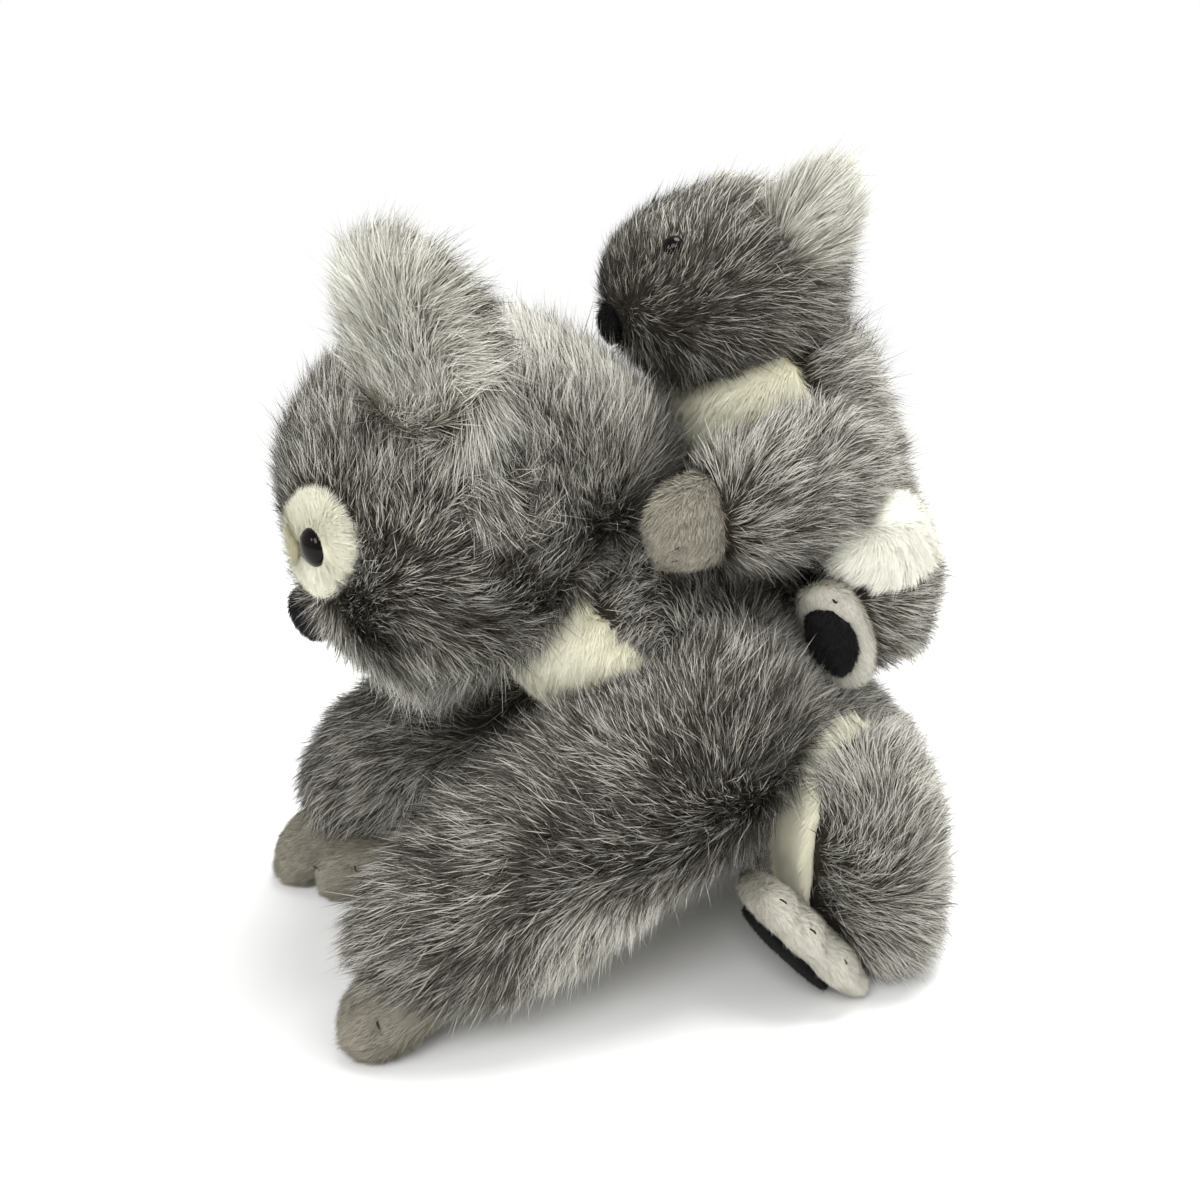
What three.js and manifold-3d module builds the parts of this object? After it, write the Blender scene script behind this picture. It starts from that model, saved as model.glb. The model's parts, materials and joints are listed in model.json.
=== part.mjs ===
// A stuffed koala mother with her young one, the joey, riding on her back, in long-pile plush.
// She sits on her rump and hind feet and leans forward on both hands.
// Millimetres, +Z up. She faces -Y, and her left side is +X. The origin is on the floor,
// under the middle of the toy. Each head, ear and limb is sewn on at a seam and swings there.
import * as THREE from 'three';
import { mergeVertices } from 'three/addons/utils/BufferGeometryUtils.js';
import Module from 'manifold-3d';

const wasm = await Module();
wasm.setup();

// Clearances and fabric
const seamGap = 0.35;         // free space at a seam that doesn't move
const swingGap = 0.6;         // free space that is left all through one seam's swing
const crossingGap = 1.4;      // the same where two seams swing past each other
const panelThickness = 2.2;   // backed plush of a set-in panel
const panelEdgeRoom = 3;      // free width beside a panel's edge for what swings past it
const floorTrim = 1.2;        // depth of the flats that the toy rests on

// How far each seam lets its piece swing, in degrees
const headSwing = [-3, 12];
const earSwing = [-12, 12];
const armSwing = [-12, 12];
const legSwing = [-8, 8];
const joeyHeadSwing = [-12, 2];
const joeyEarSwing = [-12, 12];
const joeyArmSwing = [-14, 2];
const joeyLegSwing = [-8, 8];

// The mother's torso, from the neck seam down to the rump
const torso = { length: 186, halfWidth: 47, halfDepth: 37, bow: -2, bluntShares: [4.2, 2.8],
  swellShares: [0.97, 0.98, 0.98, 1.02, 1] };
const torsoLean = 44;         // degrees below level, from neck to rump
const bellyPanel = { halfWidth: 48, halfLength: 62, alongShare: 0.26, reachShare: 0.85 };

// The mother's head, from the nape to the face
const head = { length: 117, halfWidth: 55, halfDepth: 53, bow: 4, bluntShares: [2.0, 2.6],
  swellShares: [0.68, 0.89, 1, 1, 0.96], underShares: [0.6, 0.68, 0.92, 1, 1] };
const headBow = 17;           // degrees that the face looks down
const headTurn = -8;          // degrees that the face turns, from straight ahead to her left
const headAhead = 18;         // from the neck seam forward to the middle of the head
const headRise = 19;          // from the neck seam up to the middle of the head
const neckPivotShare = 0.1;   // where the nod turns, along the torso
const noseForm = { length: 24, halfWidth: 9, halfDepth: 6.5, bow: 0, bluntShares: [2.2, 2.2],
  swellShares: [0.85, 1, 1] };
const noseDrop = 16;          // from the head's middle line down to the middle of the nose
const noseAhead = 4;          // from the head's front end forward to the middle of the nose
const eyePatch = { halfWidth: 13, halfLength: 15.5, alongShare: 0.93, reachShare: 0.75 };
const eyeTurn = 22;           // degrees from the head's side seam up towards the crown
const eye = { radius: 6.6, domeHeight: 4.4, flangeThickness: 1.2, shankRadius: 2,
  shankLength: 11, washerRadius: 6.5, washerThickness: 1.6 };

// The mother's ears: flat pads that stand up from the sides of the crown
const ear = { length: 56, halfWidth: 21.5, halfDepth: 6.5, bow: -3, bluntShares: [2.3, 2.3],
  swellShares: [0.75, 1, 1.02, 1] };
const earAside = 41;          // from the head's middle to the ear's root, each way
const earAheadShare = 0.12;   // share of the head's length, from its middle to the ear's root
const earRise = 28;
const earSplay = 17;          // degrees that the ear leans outwards
const earLieBack = 14;        // degrees that the ear leans back from the crown
const earFacing = 48;         // degrees that its front turns outwards, away from the face
const earPanel = { halfWidth: 17, halfLength: 23, alongShare: 0.58, reachShare: 0.75 };

// The mother's arms, from the shoulder down to the wrist
const arm = { length: 152, halfWidth: 25, halfDepth: 33, bow: -4, bluntShares: [2.9, 2.9],
  swellShares: [0.95, 1, 1, 0.95, 0.88] };
const shoulderAside = 49;     // from the middle plane to the arm's middle line
const shoulderDrop = 31;      // from the neck seam down to the arm's root
const shoulderBack = 62;      // from the neck seam back to the arm's root
const leftArmSplay = -2;      // degrees that the arm points outwards
const rightArmSplay = 7;
const armPivotShare = 0.26;   // where the arm turns, along its own length
const armPanel = { halfWidth: 13, halfLength: 50, alongShare: 0.62, reachShare: 0.75 };
const hand = { length: 46, halfWidth: 15, halfDepth: 12.5, bow: 2, bluntShares: [2.6, 2.6],
  swellShares: [0.8, 0.95, 1, 1.02], toes: 2, toeShare: 0.2 };
const wristRise = 27;         // height of the arm's far end above the floor
const handPitch = 32;         // degrees below level
const leftHandReach = 12;     // from the arm's end to the hand's end
const rightHandReach = 20;
const thumb = { length: 34, halfWidth: 10, halfDepth: 10, bow: 2, bluntShares: [2.5, 2.5],
  swellShares: [0.8, 1, 1] };
const thumbTurn = 34;         // degrees between thumb and fingers
const thumbBack = 15;         // how far the thumb ends behind the fingers
const thumbAside = 15;        // from the fingers' middle to the thumb's end

// The mother's hind legs and feet
const leg = { length: 84, halfWidth: 27, halfDepth: 23, bow: 3, bluntShares: [2.6, 2.6],
  swellShares: [0.92, 1, 1.02, 0.92] };
const legAside = 51;          // from the middle plane to the leg's middle line
const legBack = 87;           // from the neck seam back to the top of the leg
const legLean = 9;            // degrees that its lower end lies back
const legPivotShare = 0.42;
const legPanel = { halfWidth: 13, halfLength: 33, alongShare: 0.32, reachShare: 1.3 };
const foot = { length: 60, halfWidth: 17, halfDepth: 7, bow: 0, bluntShares: [2.9, 2.9],
  swellShares: [0.9, 1, 1, 0.95], toes: 3, toeShare: 0.24 };
const footAside = 64;         // from the middle plane to the foot's middle line
const footAhead = 1;          // from the leg's root forward to the heel
const footPitch = 48;         // degrees that the toes rise
const solePanel = { halfWidth: 12.5, halfLength: 22, alongShare: 0.52, reachShare: 0.75 };

// The joey's torso, from the neck seam down to the rump
const joeyTorso = { length: 118, halfWidth: 29, halfDepth: 28, bow: -5, bluntShares: [4, 2.7],
  swellShares: [1.06, 1.07, 0.98, 1, 0.96] };
const joeyTorsoLean = 65;     // degrees below level, from neck to rump
const joeyBack = 69;          // from the mother's neck seam back to the joey's neck
const joeyRise = 63;          // from the mother's neck seam up to the joey's neck
const joeyBellyPanel = { halfWidth: 38, halfLength: 24, alongShare: 0.15, reachShare: 1 };

// The joey's head
const joeyHead = { length: 72, halfWidth: 31, halfDepth: 27, bow: 0, bluntShares: [2.3, 2.6],
  swellShares: [0.98, 1.02, 1, 0.95, 0.86] };
const joeyHeadBow = 9;
const joeyHeadAhead = 10;
const joeyHeadRise = 20;
const joeyNeckPivotShare = 0.1;
const joeyNoseForm = { length: 15, halfWidth: 6, halfDepth: 5, bow: 0, bluntShares: [2.2, 2.2],
  swellShares: [0.85, 1, 1] };
const joeyNoseDrop = 5;
const joeyEyeShare = 0.79;    // where the eye lies, along the head
const joeyEyeTurn = 44;
const joeyEye = { radius: 3.2, domeHeight: 2.4, flangeThickness: 0.8, shankRadius: 1.2,
  shankLength: 7, washerRadius: 3.6, washerThickness: 1.2 };
const joeyEar = { length: 31, halfWidth: 12, halfDepth: 4.5, bow: 2, bluntShares: [2.3, 2.3],
  swellShares: [0.75, 1, 1.02, 0.95] };
const joeyEarAside = 22;
const joeyEarBack = 6;
const joeyEarRise = 5;
const joeyEarSplay = 24;
const joeyEarLieBack = 47;
const joeyEarFacing = 32;

// The joey's arms and hands
const joeyArm = { length: 70, halfWidth: 14.5, halfDepth: 21, bow: -1, bluntShares: [2.6, 2.6],
  swellShares: [0.95, 1, 0.94, 0.84, 0.72] };
const joeyShoulderAside = 34;
const joeyShoulderBack = 29;  // from the joey's neck back to the arm's root
const joeyShoulderDrop = 32;  // from the joey's neck down to the arm's root
const joeyArmPitch = 9;
const joeyArmSplay = 11;
const joeyArmPivotShare = 0.22;
const joeyHand = { length: 31, halfWidth: 9, halfDepth: 13, bow: 0, bluntShares: [2.6, 2.6],
  swellShares: [0.9, 1, 1.02, 0.95], toes: 3, toeShare: 0.16 };
const joeyHandReach = 14;
const joeyHandPitch = 20;

// The joey's hind legs and feet
const joeyLeg = { length: 53, halfWidth: 15, halfDepth: 21, bow: 2, bluntShares: [2.4, 2.4],
  swellShares: [0.9, 1, 1.02, 0.92] };
const joeyLegAside = 35;
const joeyLegBack = 28;       // from the joey's neck back to the top of the leg
const joeyLegDrop = 45;       // from the joey's neck down to the top of the leg
const joeyLegLean = 8;
const joeyLegPivotShare = 0.45;
const joeyLegPanel = { halfWidth: 15, halfLength: 12, alongShare: 0.2, reachShare: 1 };
const joeyLegPanelTurn = -12; // degrees round the leg, from its outer side to its front
const joeyFoot = { length: 38, halfWidth: 10.5, halfDepth: 6, bow: 3, bluntShares: [2.7, 2.7],
  swellShares: [0.9, 1, 1, 0.92], toes: 3, toeShare: 0.2 };
const joeyFootAside = 50;
const joeyFootBack = 18;       // from the joey's neck back to the heel
const joeyFootDrop = 101;     // from the joey's neck down to the heel
const joeyFootPitch = 66;
const joeyFootFacing = 40;    // degrees that the sole turns outwards
const joeySolePanel = { halfWidth: 8, halfLength: 13, alongShare: 0.52, reachShare: 0.75 };

// Facets: rings along a form and corners round it
const bodyMesh = { rings: 14, corners: 20 };
const joeyMesh = { rings: 12, corners: 16 };
const limbMesh = { rings: 10, corners: 16 };
const smallMesh = { rings: 8, corners: 12 };
const panelCorners = 16;
const eyeCorners = 14;
const eyeDomeSteps = 3;

// Shares of a form: where its toes start and are full, and the step over which its slope is read
const toeSpanShares = [0.55, 0.9];
const slopeShare = 0.01;
const mergeDistance = 0.0001; // points nearer than this are one point

const radians = THREE.MathUtils.degToRad;
const leftAxis = new THREE.Vector3(1, 0, 0);

function solidFrom(geometry) {
  const bare = geometry.index ? geometry.toNonIndexed() : geometry.clone();
  bare.deleteAttribute('normal');
  bare.deleteAttribute('uv');
  const merged = mergeVertices(bare, mergeDistance);
  const mesh = new wasm.Mesh({ numProp: 3,
    vertProperties: new Float32Array(merged.attributes.position.array),
    triVerts: new Uint32Array(merged.index.array) });
  return new wasm.Manifold(mesh);
}

function geometryFrom(solid) {
  const mesh = solid.getMesh();
  const geometry = new THREE.BufferGeometry();
  const places = new Float32Array(mesh.vertProperties);
  geometry.setAttribute('position', new THREE.BufferAttribute(places, 3));
  geometry.setIndex(new THREE.BufferAttribute(new Uint32Array(mesh.triVerts), 1));
  geometry.computeVertexNormals();
  return geometry;
}

// A frame whose Z runs along a form's middle line and whose Y is nearest to the given up
function aimed(origin, along, up) {
  const z = along.clone().normalize();
  const x = up.clone().cross(z).normalize();
  const y = z.clone().cross(x);
  return new THREE.Matrix4().makeBasis(x, y, z).setPosition(origin);
}

function turnAbout(point, axis, angle) {
  return new THREE.Matrix4().makeTranslation(point.x, point.y, point.z)
    .multiply(new THREE.Matrix4().makeRotationAxis(axis, radians(angle)))
    .multiply(new THREE.Matrix4().makeTranslation(-point.x, -point.y, -point.z));
}

// Smooth reading of a list of shares that are spread evenly from 0 to 1
function shareAt(shares, along) {
  const place = THREE.MathUtils.clamp(along, 0, 1) * (shares.length - 1);
  const low = Math.min(Math.floor(place), shares.length - 2);
  const part = THREE.MathUtils.smoothstep(place - low, 0, 1);
  return THREE.MathUtils.lerp(shares[low], shares[low + 1], part);
}

// A stuffed skin: oval rings that swell and taper along a bent middle line, closed at both ends,
// with an underside that may be flatter than the upper side.
// Grown, it is the same skin that much further out, which is how neighbours keep their distance.
class StuffedForm {
  constructor(shape, place, mesh) {
    this.shape = shape;
    this.place = place;
    this.mesh = mesh;
  }

  moved(matrix) {
    return new StuffedForm(this.shape, matrix.clone().multiply(this.place), this.mesh);
  }

  pointAt(along, turn, grown = 0) {
    const { length, halfWidth, halfDepth, bow } = this.shape;
    const { bluntShares, swellShares, underShares } = this.shape;
    const blunt = bluntShares[along < 0.5 ? 0 : 1];
    const closing = Math.pow(1 - Math.pow(Math.abs(2 * along - 1), blunt), 1 / blunt);
    const swell = shareAt(swellShares, along);
    const across = Math.cos(turn);
    let depth = halfDepth * swell;
    if (underShares && Math.sin(turn) < 0) depth *= shareAt(underShares, along);
    if (this.shape.toes) {
      const lobes = Math.abs(Math.sin(Math.PI * this.shape.toes * (across + 1) / 2));
      const near = THREE.MathUtils.smoothstep(along, ...toeSpanShares);
      depth *= 1 - this.shape.toeShare * near * (1 - lobes);
    }
    return new THREE.Vector3(
      across * closing * (halfWidth * swell + grown),
      Math.sin(turn) * closing * (depth + grown) + bow * Math.sin(Math.PI * along),
      length * along + grown * (2 * along - 1),
    ).applyMatrix4(this.place);
  }

  normalAt(along, turn) {
    const run = this.pointAt(along + slopeShare, turn).sub(this.pointAt(along - slopeShare, turn));
    const round = this.pointAt(along, turn + slopeShare).sub(this.pointAt(along, turn - slopeShare));
    return round.cross(run).normalize();
  }

  solid(grown = 0) {
    const { rings, corners } = this.mesh;
    const at = (ring, corner) => this.pointAt((1 - Math.cos(Math.PI * ring / rings)) / 2,
      2 * Math.PI * (corner % corners) / corners, grown);
    const places = [];
    const face = (...points) => points.forEach((point) => places.push(...point.toArray()));
    for (let ring = 0; ring < rings; ring += 1) {
      for (let corner = 0; corner < corners; corner += 1) {
        const low = at(ring, corner);
        const lowNext = at(ring, corner + 1);
        const high = at(ring + 1, corner);
        const highNext = at(ring + 1, corner + 1);
        if (ring > 0) face(low, lowNext, high);
        if (ring < rings - 1) face(lowNext, highNext, high);
      }
    }
    // The first ring's fan and the last one's close the ends, so the skin has no hole
    const geometry = new THREE.BufferGeometry();
    geometry.setAttribute('position', new THREE.Float32BufferAttribute(places, 3));
    return solidFrom(geometry);
  }

  swingRoom(gap) {
    return this.solid(gap);
  }

  lowest() {
    const { rings, corners } = this.mesh;
    let low = Infinity;
    for (let ring = 0; ring <= rings; ring += 1) {
      for (let corner = 0; corner < corners; corner += 1) {
        const along = (1 - Math.cos(Math.PI * ring / rings)) / 2;
        low = Math.min(low, this.pointAt(along, 2 * Math.PI * corner / corners).z);
      }
    }
    return low;
  }

  // The same form, moved up or down until the floor trims it by the named depth
  onFloor() {
    return this.moved(new THREE.Matrix4().makeTranslation(0, 0, -this.lowest() - floorTrim));
  }
}

// A patch of backed plush that lies on a form inside an oval outline. The outline reaches into
// the form by a share of its half depth.
class SetInPanel {
  constructor(form, panel, turn) {
    this.form = form;
    this.panel = panel;
    this.turn = turn;
  }

  moved(matrix) {
    return new SetInPanel(this.form.moved(matrix), this.panel, this.turn);
  }

  solid(grown = 0, wider = 0) {
    const { halfWidth, halfLength, alongShare, reachShare } = this.panel;
    const centre = this.form.pointAt(alongShare, this.turn);
    const normal = this.form.normalAt(alongShare, this.turn);
    const inward = this.form.shape.halfDepth * reachShare + wider;
    const outward = panelThickness + swingGap + grown;
    const outline = new THREE.CylinderGeometry(1, 1, 1, panelCorners);
    outline.scale(halfLength + grown + wider, inward + outward, halfWidth + grown + wider);
    outline.translate(0, (outward - inward) / 2, 0);
    const along = new THREE.Vector3().setFromMatrixColumn(this.form.place, 2);
    const across = along.clone().cross(normal).normalize();
    const level = normal.clone().cross(across);
    outline.applyMatrix4(new THREE.Matrix4().makeBasis(level, normal, across).setPosition(centre));
    const outer = this.form.solid(seamGap + panelThickness + grown).intersect(solidFrom(outline));
    return grown > 0 ? outer : outer.subtract(this.form.solid(seamGap));
  }

  // What swings past a panel keeps clear of a wider one, so that no edge catches on its way
  swingRoom(gap) {
    return this.solid(gap, panelEdgeRoom);
  }
}

// A hinge at a seam: the body it moves, the body that carries it, and its swing in degrees
class Seam {
  constructor(carrier, point, axis, swing) {
    this.carrier = carrier;
    this.point = point;
    this.axis = axis.clone().normalize();
    this.swing = swing;
  }

  chain() {
    return this.carrier ? [...this.carrier.chain(), this] : [this];
  }
}

// Every way that one seam's piece can lie against another's, brought into the second one's frame
function relativePlaces(mover, still) {
  const movers = mover ? mover.chain() : [];
  const stills = still ? still.chain() : [];
  while (movers.length && stills.length && movers[0] === stills[0]) {
    movers.shift();
    stills.shift();
  }
  const links = [...stills.map((seam) => [seam, -1]).reverse(), ...movers.map((seam) => [seam, 1])];
  let places = [new THREE.Matrix4()];
  for (const [seam, sense] of links) {
    places = places.flatMap((place) => seam.swing.map((turn) => place.clone()
      .multiply(turnAbout(seam.point, seam.axis, sense * turn))));
  }
  return links.length ? [new THREE.Matrix4(), ...places] : places;
}

const pieces = [];

// A piece of one seam's body: its solid is cut clear of all that was made before it and listed
function addPiece(name, finish, seam, shapes, clearOf = []) {
  let solid = shapes.map((shape) => shape.solid()).reduce((whole, part) => whole.add(part));
  for (const other of clearOf) {
    const places = relativePlaces(other.seam, seam);
    const gap = [seamGap, swingGap, crossingGap][Math.min(Math.floor(places.length / 2), 2)];
    for (const place of places) {
      for (const shape of other.shapes) {
        const still = shape.moved(place);
        solid = solid.subtract(places.length === 3 ? still.swingRoom(gap) : still.solid(gap));
      }
    }
  }
  const piece = { name, finish, seam, shapes, solid: solid.subtract(floorBlock) };
  pieces.push(piece);
  return piece;
}

function turned(profile, place) {
  const points = profile.map(([radius, height]) => new THREE.Vector2(radius, height));
  return solidFrom(new THREE.LatheGeometry(points, eyeCorners).applyMatrix4(place));
}

// A domed eye whose shank goes through the plush into a pocket, where a lock washer holds it
function addEye(name, sizes, seam, form, along, turn, lift, skins) {
  const { radius, domeHeight, flangeThickness, shankRadius, shankLength } = sizes;
  const { washerRadius, washerThickness } = sizes;
  const normal = form.normalAt(along, turn);
  const across = new THREE.Vector3().setFromMatrixColumn(form.place, 2).cross(normal).normalize();
  const foot = form.pointAt(along, turn).addScaledVector(normal, lift);
  const place = new THREE.Matrix4()
    .makeBasis(normal.clone().cross(across), normal, across).setPosition(foot);
  const dome = Array.from({ length: eyeDomeSteps + 1 }, (_, step) => {
    const angle = Math.PI / 2 * step / eyeDomeSteps;
    return [radius * Math.cos(angle), flangeThickness + domeHeight * Math.sin(angle)];
  });
  const hole = shankRadius + seamGap;
  const washerTop = 2 * washerThickness - shankLength;
  const pocketTop = washerTop + seamGap;
  const pocketLow = -shankLength - seamGap;
  const pocket = turned([[0, pocketLow], [washerRadius + seamGap, pocketLow],
    [washerRadius + seamGap, pocketTop], [hole, pocketTop], [hole, radius], [0, radius]], place);
  for (const skin of skins) skin.solid = skin.solid.subtract(pocket);
  pieces.push({ name, finish: finishes.eye, seam, solid: turned([[0, -shankLength],
    [shankRadius, -shankLength], [shankRadius, 0], [radius, 0], ...dome.slice(0, -1),
    [0, flangeThickness + domeHeight]], place) });
  pieces.push({ name: `${name}_washer`, finish: finishes.washer, seam, solid: turned([
    [hole, washerTop - washerThickness], [washerRadius, washerTop - washerThickness],
    [washerRadius, washerTop], [hole, washerTop], [hole, washerTop - washerThickness]], place) });
}

const finishes = {
  grey: { color: '#8d8987', roughness: 0.95 },
  earBack: { color: '#9a958a', roughness: 0.95 },
  white: { color: '#f1eee6', roughness: 0.95 },
  cream: { color: '#efeadb', roughness: 0.92 },
  paw: { color: '#a59f98', roughness: 0.9 },
  sole: { color: '#141314', roughness: 0.8 },
  nose: { color: '#171618', roughness: 0.75 },
  eye: { color: '#0b0a0a', roughness: 0.12 },
  washer: { color: '#d9d6cf', roughness: 0.5 },
};

// The floor, as a block that trims whatever reaches below it
const floorSize = 2 * (torso.length + arm.length);
const floorBlock = solidFrom(new THREE.BoxGeometry(floorSize, floorSize, floorSize)
  .translate(0, 0, -floorSize / 2));

const downBack = (lean) => new THREE.Vector3(0, Math.cos(radians(lean)), -Math.sin(radians(lean)));
const sides = [['left', 1], ['right', -1]];

// The mother's torso: its underside settles on the floor
const torsoDirection = downBack(torsoLean);
const torsoForm = new StuffedForm(torso,
  aimed(new THREE.Vector3(), torsoDirection, new THREE.Vector3(0, -1, 0)), bodyMesh).onFloor();
const neck = new THREE.Vector3().setFromMatrixPosition(torsoForm.place);
const motherTorso = addPiece('mother_torso', finishes.grey, null, [torsoForm]);
const bellyForm = new SetInPanel(torsoForm, bellyPanel, Math.PI / 2);
const motherBelly = addPiece('mother_belly_panel', finishes.cream, null, [bellyForm]);

// The mother's head: it nods on the neck seam
const headNeck = neck.clone().addScaledVector(torsoDirection, neckPivotShare * torso.length);
const headSeam = new Seam(null, headNeck, leftAxis, headSwing);
const upright = new THREE.Vector3(0, 0, 1);
const turnedHead = (x, y, z) => new THREE.Vector3(x, y, z)
  .applyAxisAngle(upright, radians(headTurn));
const faceward = turnedHead(0, -Math.cos(radians(headBow)), -Math.sin(radians(headBow)));
const crownward = turnedHead(0, -Math.sin(radians(headBow)), Math.cos(radians(headBow)));
const headMiddle = neck.clone().add(turnedHead(0, -headAhead, headRise));
const headForm = new StuffedForm(head, aimed(headMiddle.clone()
  .addScaledVector(faceward, -head.length / 2), faceward, crownward), bodyMesh);
const motherHead = addPiece('mother_head', finishes.grey, headSeam, [headForm],
  [motherTorso, motherBelly]);

const noseMiddle = headMiddle.clone().addScaledVector(faceward, head.length / 2 + noseAhead)
  .addScaledVector(crownward, -noseDrop);
const motherNose = new StuffedForm(noseForm, aimed(noseMiddle.clone()
  .addScaledVector(crownward, noseForm.length / 2), crownward.clone().negate(), faceward),
  smallMesh);
addPiece('mother_nose', finishes.nose, headSeam, [motherNose], [motherHead]);

for (const [side, sign] of sides) {
  const turn = side === 'left' ? radians(eyeTurn) : Math.PI - radians(eyeTurn);
  const patch = addPiece(`mother_${side}_eye_patch`, finishes.cream, headSeam,
    [new SetInPanel(headForm, eyePatch, turn)]);
  addEye(`mother_${side}_eye`, eye, headSeam, headForm, eyePatch.alongShare, turn,
    panelThickness + 2 * seamGap, [motherHead, patch]);

  // Ears: pads that stand on the sides of the crown and flap there
  const outward = turnedHead(sign, 0, 0);
  const earRoot = headMiddle.clone().addScaledVector(outward, earAside)
    .addScaledVector(faceward, earAheadShare * head.length).addScaledVector(crownward, earRise);
  const earDirection = crownward.clone().multiplyScalar(Math.cos(radians(earLieBack)))
    .addScaledVector(faceward, -Math.sin(radians(earLieBack)))
    .addScaledVector(outward, Math.tan(radians(earSplay)));
  const earFront = faceward.clone().multiplyScalar(Math.cos(radians(earFacing)))
    .addScaledVector(outward, Math.sin(radians(earFacing)));
  const earForm = new StuffedForm(ear, aimed(earRoot, earDirection, earFront), smallMesh);
  const earSeam = new Seam(headSeam, earRoot,
    new THREE.Vector3().setFromMatrixColumn(earForm.place, 0), earSwing);
  addPiece(`mother_${side}_ear`, finishes.earBack, earSeam, [earForm], [motherHead]);
  addPiece(`mother_${side}_ear_lining`, finishes.white, earSeam,
    [new SetInPanel(earForm, earPanel, Math.PI / 2)], [motherHead]);
}

// The mother's arms lean forward on the floor
const motherArms = [];
for (const [side, sign] of sides) {
  const shoulder = neck.clone()
    .add(new THREE.Vector3(sign * shoulderAside, shoulderBack, -shoulderDrop));
  const splay = radians(side === 'left' ? leftArmSplay : rightArmSplay);
  const drop = (shoulder.z - wristRise) / arm.length;
  const flat = Math.sqrt(1 - drop * drop);
  const armDirection = new THREE.Vector3(sign * flat * Math.sin(splay),
    -flat * Math.cos(splay), -drop);
  const armForm = new StuffedForm(arm, aimed(shoulder, armDirection, upright), limbMesh);
  const armPoint = shoulder.clone().addScaledVector(armDirection, armPivotShare * arm.length);
  const armSeam = new Seam(null, armPoint, leftAxis, armSwing);
  const armPiece = addPiece(`mother_${side}_arm`, finishes.grey, armSeam, [armForm],
    [motherTorso, motherBelly, motherHead]);
  const inner = side === 'left' ? Math.PI : 0;
  const turnDown = side === 'left' ? Math.PI / 4 : -Math.PI / 4;
  const lining = addPiece(`mother_${side}_arm_lining`, finishes.cream, armSeam,
    [new SetInPanel(armForm, armPanel, inner + turnDown)],
    [motherTorso, motherBelly, motherHead]);

  const wrist = shoulder.clone().addScaledVector(armDirection, arm.length);
  const handDirection = new THREE.Vector3(armDirection.x, -Math.cos(radians(handPitch)),
    -Math.sin(radians(handPitch)));
  const handEnd = wrist.clone().addScaledVector(handDirection,
    side === 'left' ? leftHandReach : rightHandReach);
  const fingers = new StuffedForm(hand, aimed(handEnd.clone()
    .addScaledVector(handDirection, -hand.length), handDirection, upright), smallMesh);
  const thumbDirection = handDirection.clone()
    .applyAxisAngle(upright, sign * radians(thumbTurn));
  const thumbEnd = handEnd.clone().add(new THREE.Vector3(-sign * thumbAside, thumbBack, 0));
  const thumbForm = new StuffedForm(thumb, aimed(thumbEnd
    .addScaledVector(thumbDirection, -thumb.length), thumbDirection, upright), smallMesh);
  addPiece(`mother_${side}_hand`, finishes.paw, armSeam, [fingers.onFloor(), thumbForm.onFloor()],
    [armPiece, lining]);
  motherArms.push(armPiece, lining);
}

// The mother's hind legs stand beside the rump, with the feet turned up in front of them
const motherLegs = [];
for (const [side, sign] of sides) {
  const legTop = new THREE.Vector3(sign * legAside, neck.y + legBack, leg.length);
  const legDirection = new THREE.Vector3(0, Math.sin(radians(legLean)),
    -Math.cos(radians(legLean)));
  const forward = new THREE.Vector3(0, -1, 0);
  const legForm = new StuffedForm(leg, aimed(legTop, legDirection, forward), limbMesh).onFloor();
  const hip = legForm.pointAt(0, 0).addScaledVector(legDirection, legPivotShare * leg.length);
  const legSeam = new Seam(null, hip, leftAxis, legSwing);
  const legPiece = addPiece(`mother_${side}_leg`, finishes.grey, legSeam, [legForm],
    [motherTorso, motherBelly, ...motherArms]);
  const lining = addPiece(`mother_${side}_leg_lining`, finishes.cream, legSeam,
    [new SetInPanel(legForm, legPanel, Math.PI / 2)], [motherTorso, motherBelly, ...motherArms]);

  const heel = new THREE.Vector3(sign * footAside, neck.y + legBack - footAhead, 0);
  const toeward = new THREE.Vector3(0, -Math.cos(radians(footPitch)),
    Math.sin(radians(footPitch)));
  const instep = new THREE.Vector3(0, Math.sin(radians(footPitch)), Math.cos(radians(footPitch)));
  const footForm = new StuffedForm(foot, aimed(heel, toeward, instep), smallMesh).onFloor();
  const carriers = [legPiece, lining, motherTorso, ...motherArms];
  const footPiece = addPiece(`mother_${side}_foot`, finishes.paw, legSeam, [footForm], carriers);
  const sole = addPiece(`mother_${side}_sole`, finishes.sole, legSeam,
    [new SetInPanel(footForm, solePanel, -Math.PI / 2)], carriers);
  motherLegs.push(legPiece, lining, footPiece, sole);
}

// The joey's torso lies on the mother's back and is sewn down there
const joeyNeck = neck.clone().add(new THREE.Vector3(0, joeyBack, joeyRise));
const joeyDirection = downBack(joeyTorsoLean);
const joeyTorsoForm = new StuffedForm(joeyTorso,
  aimed(joeyNeck, joeyDirection, new THREE.Vector3(0, -1, 0)), joeyMesh);
const motherPieces = [motherTorso, motherBelly, motherHead, ...motherArms, ...motherLegs];
const joeyBody = addPiece('joey_torso', finishes.grey, null, [joeyTorsoForm], motherPieces);
const joeyBelly = addPiece('joey_belly_panel', finishes.cream, null,
  [new SetInPanel(joeyTorsoForm, joeyBellyPanel, Math.PI / 2)], motherPieces);

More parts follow.
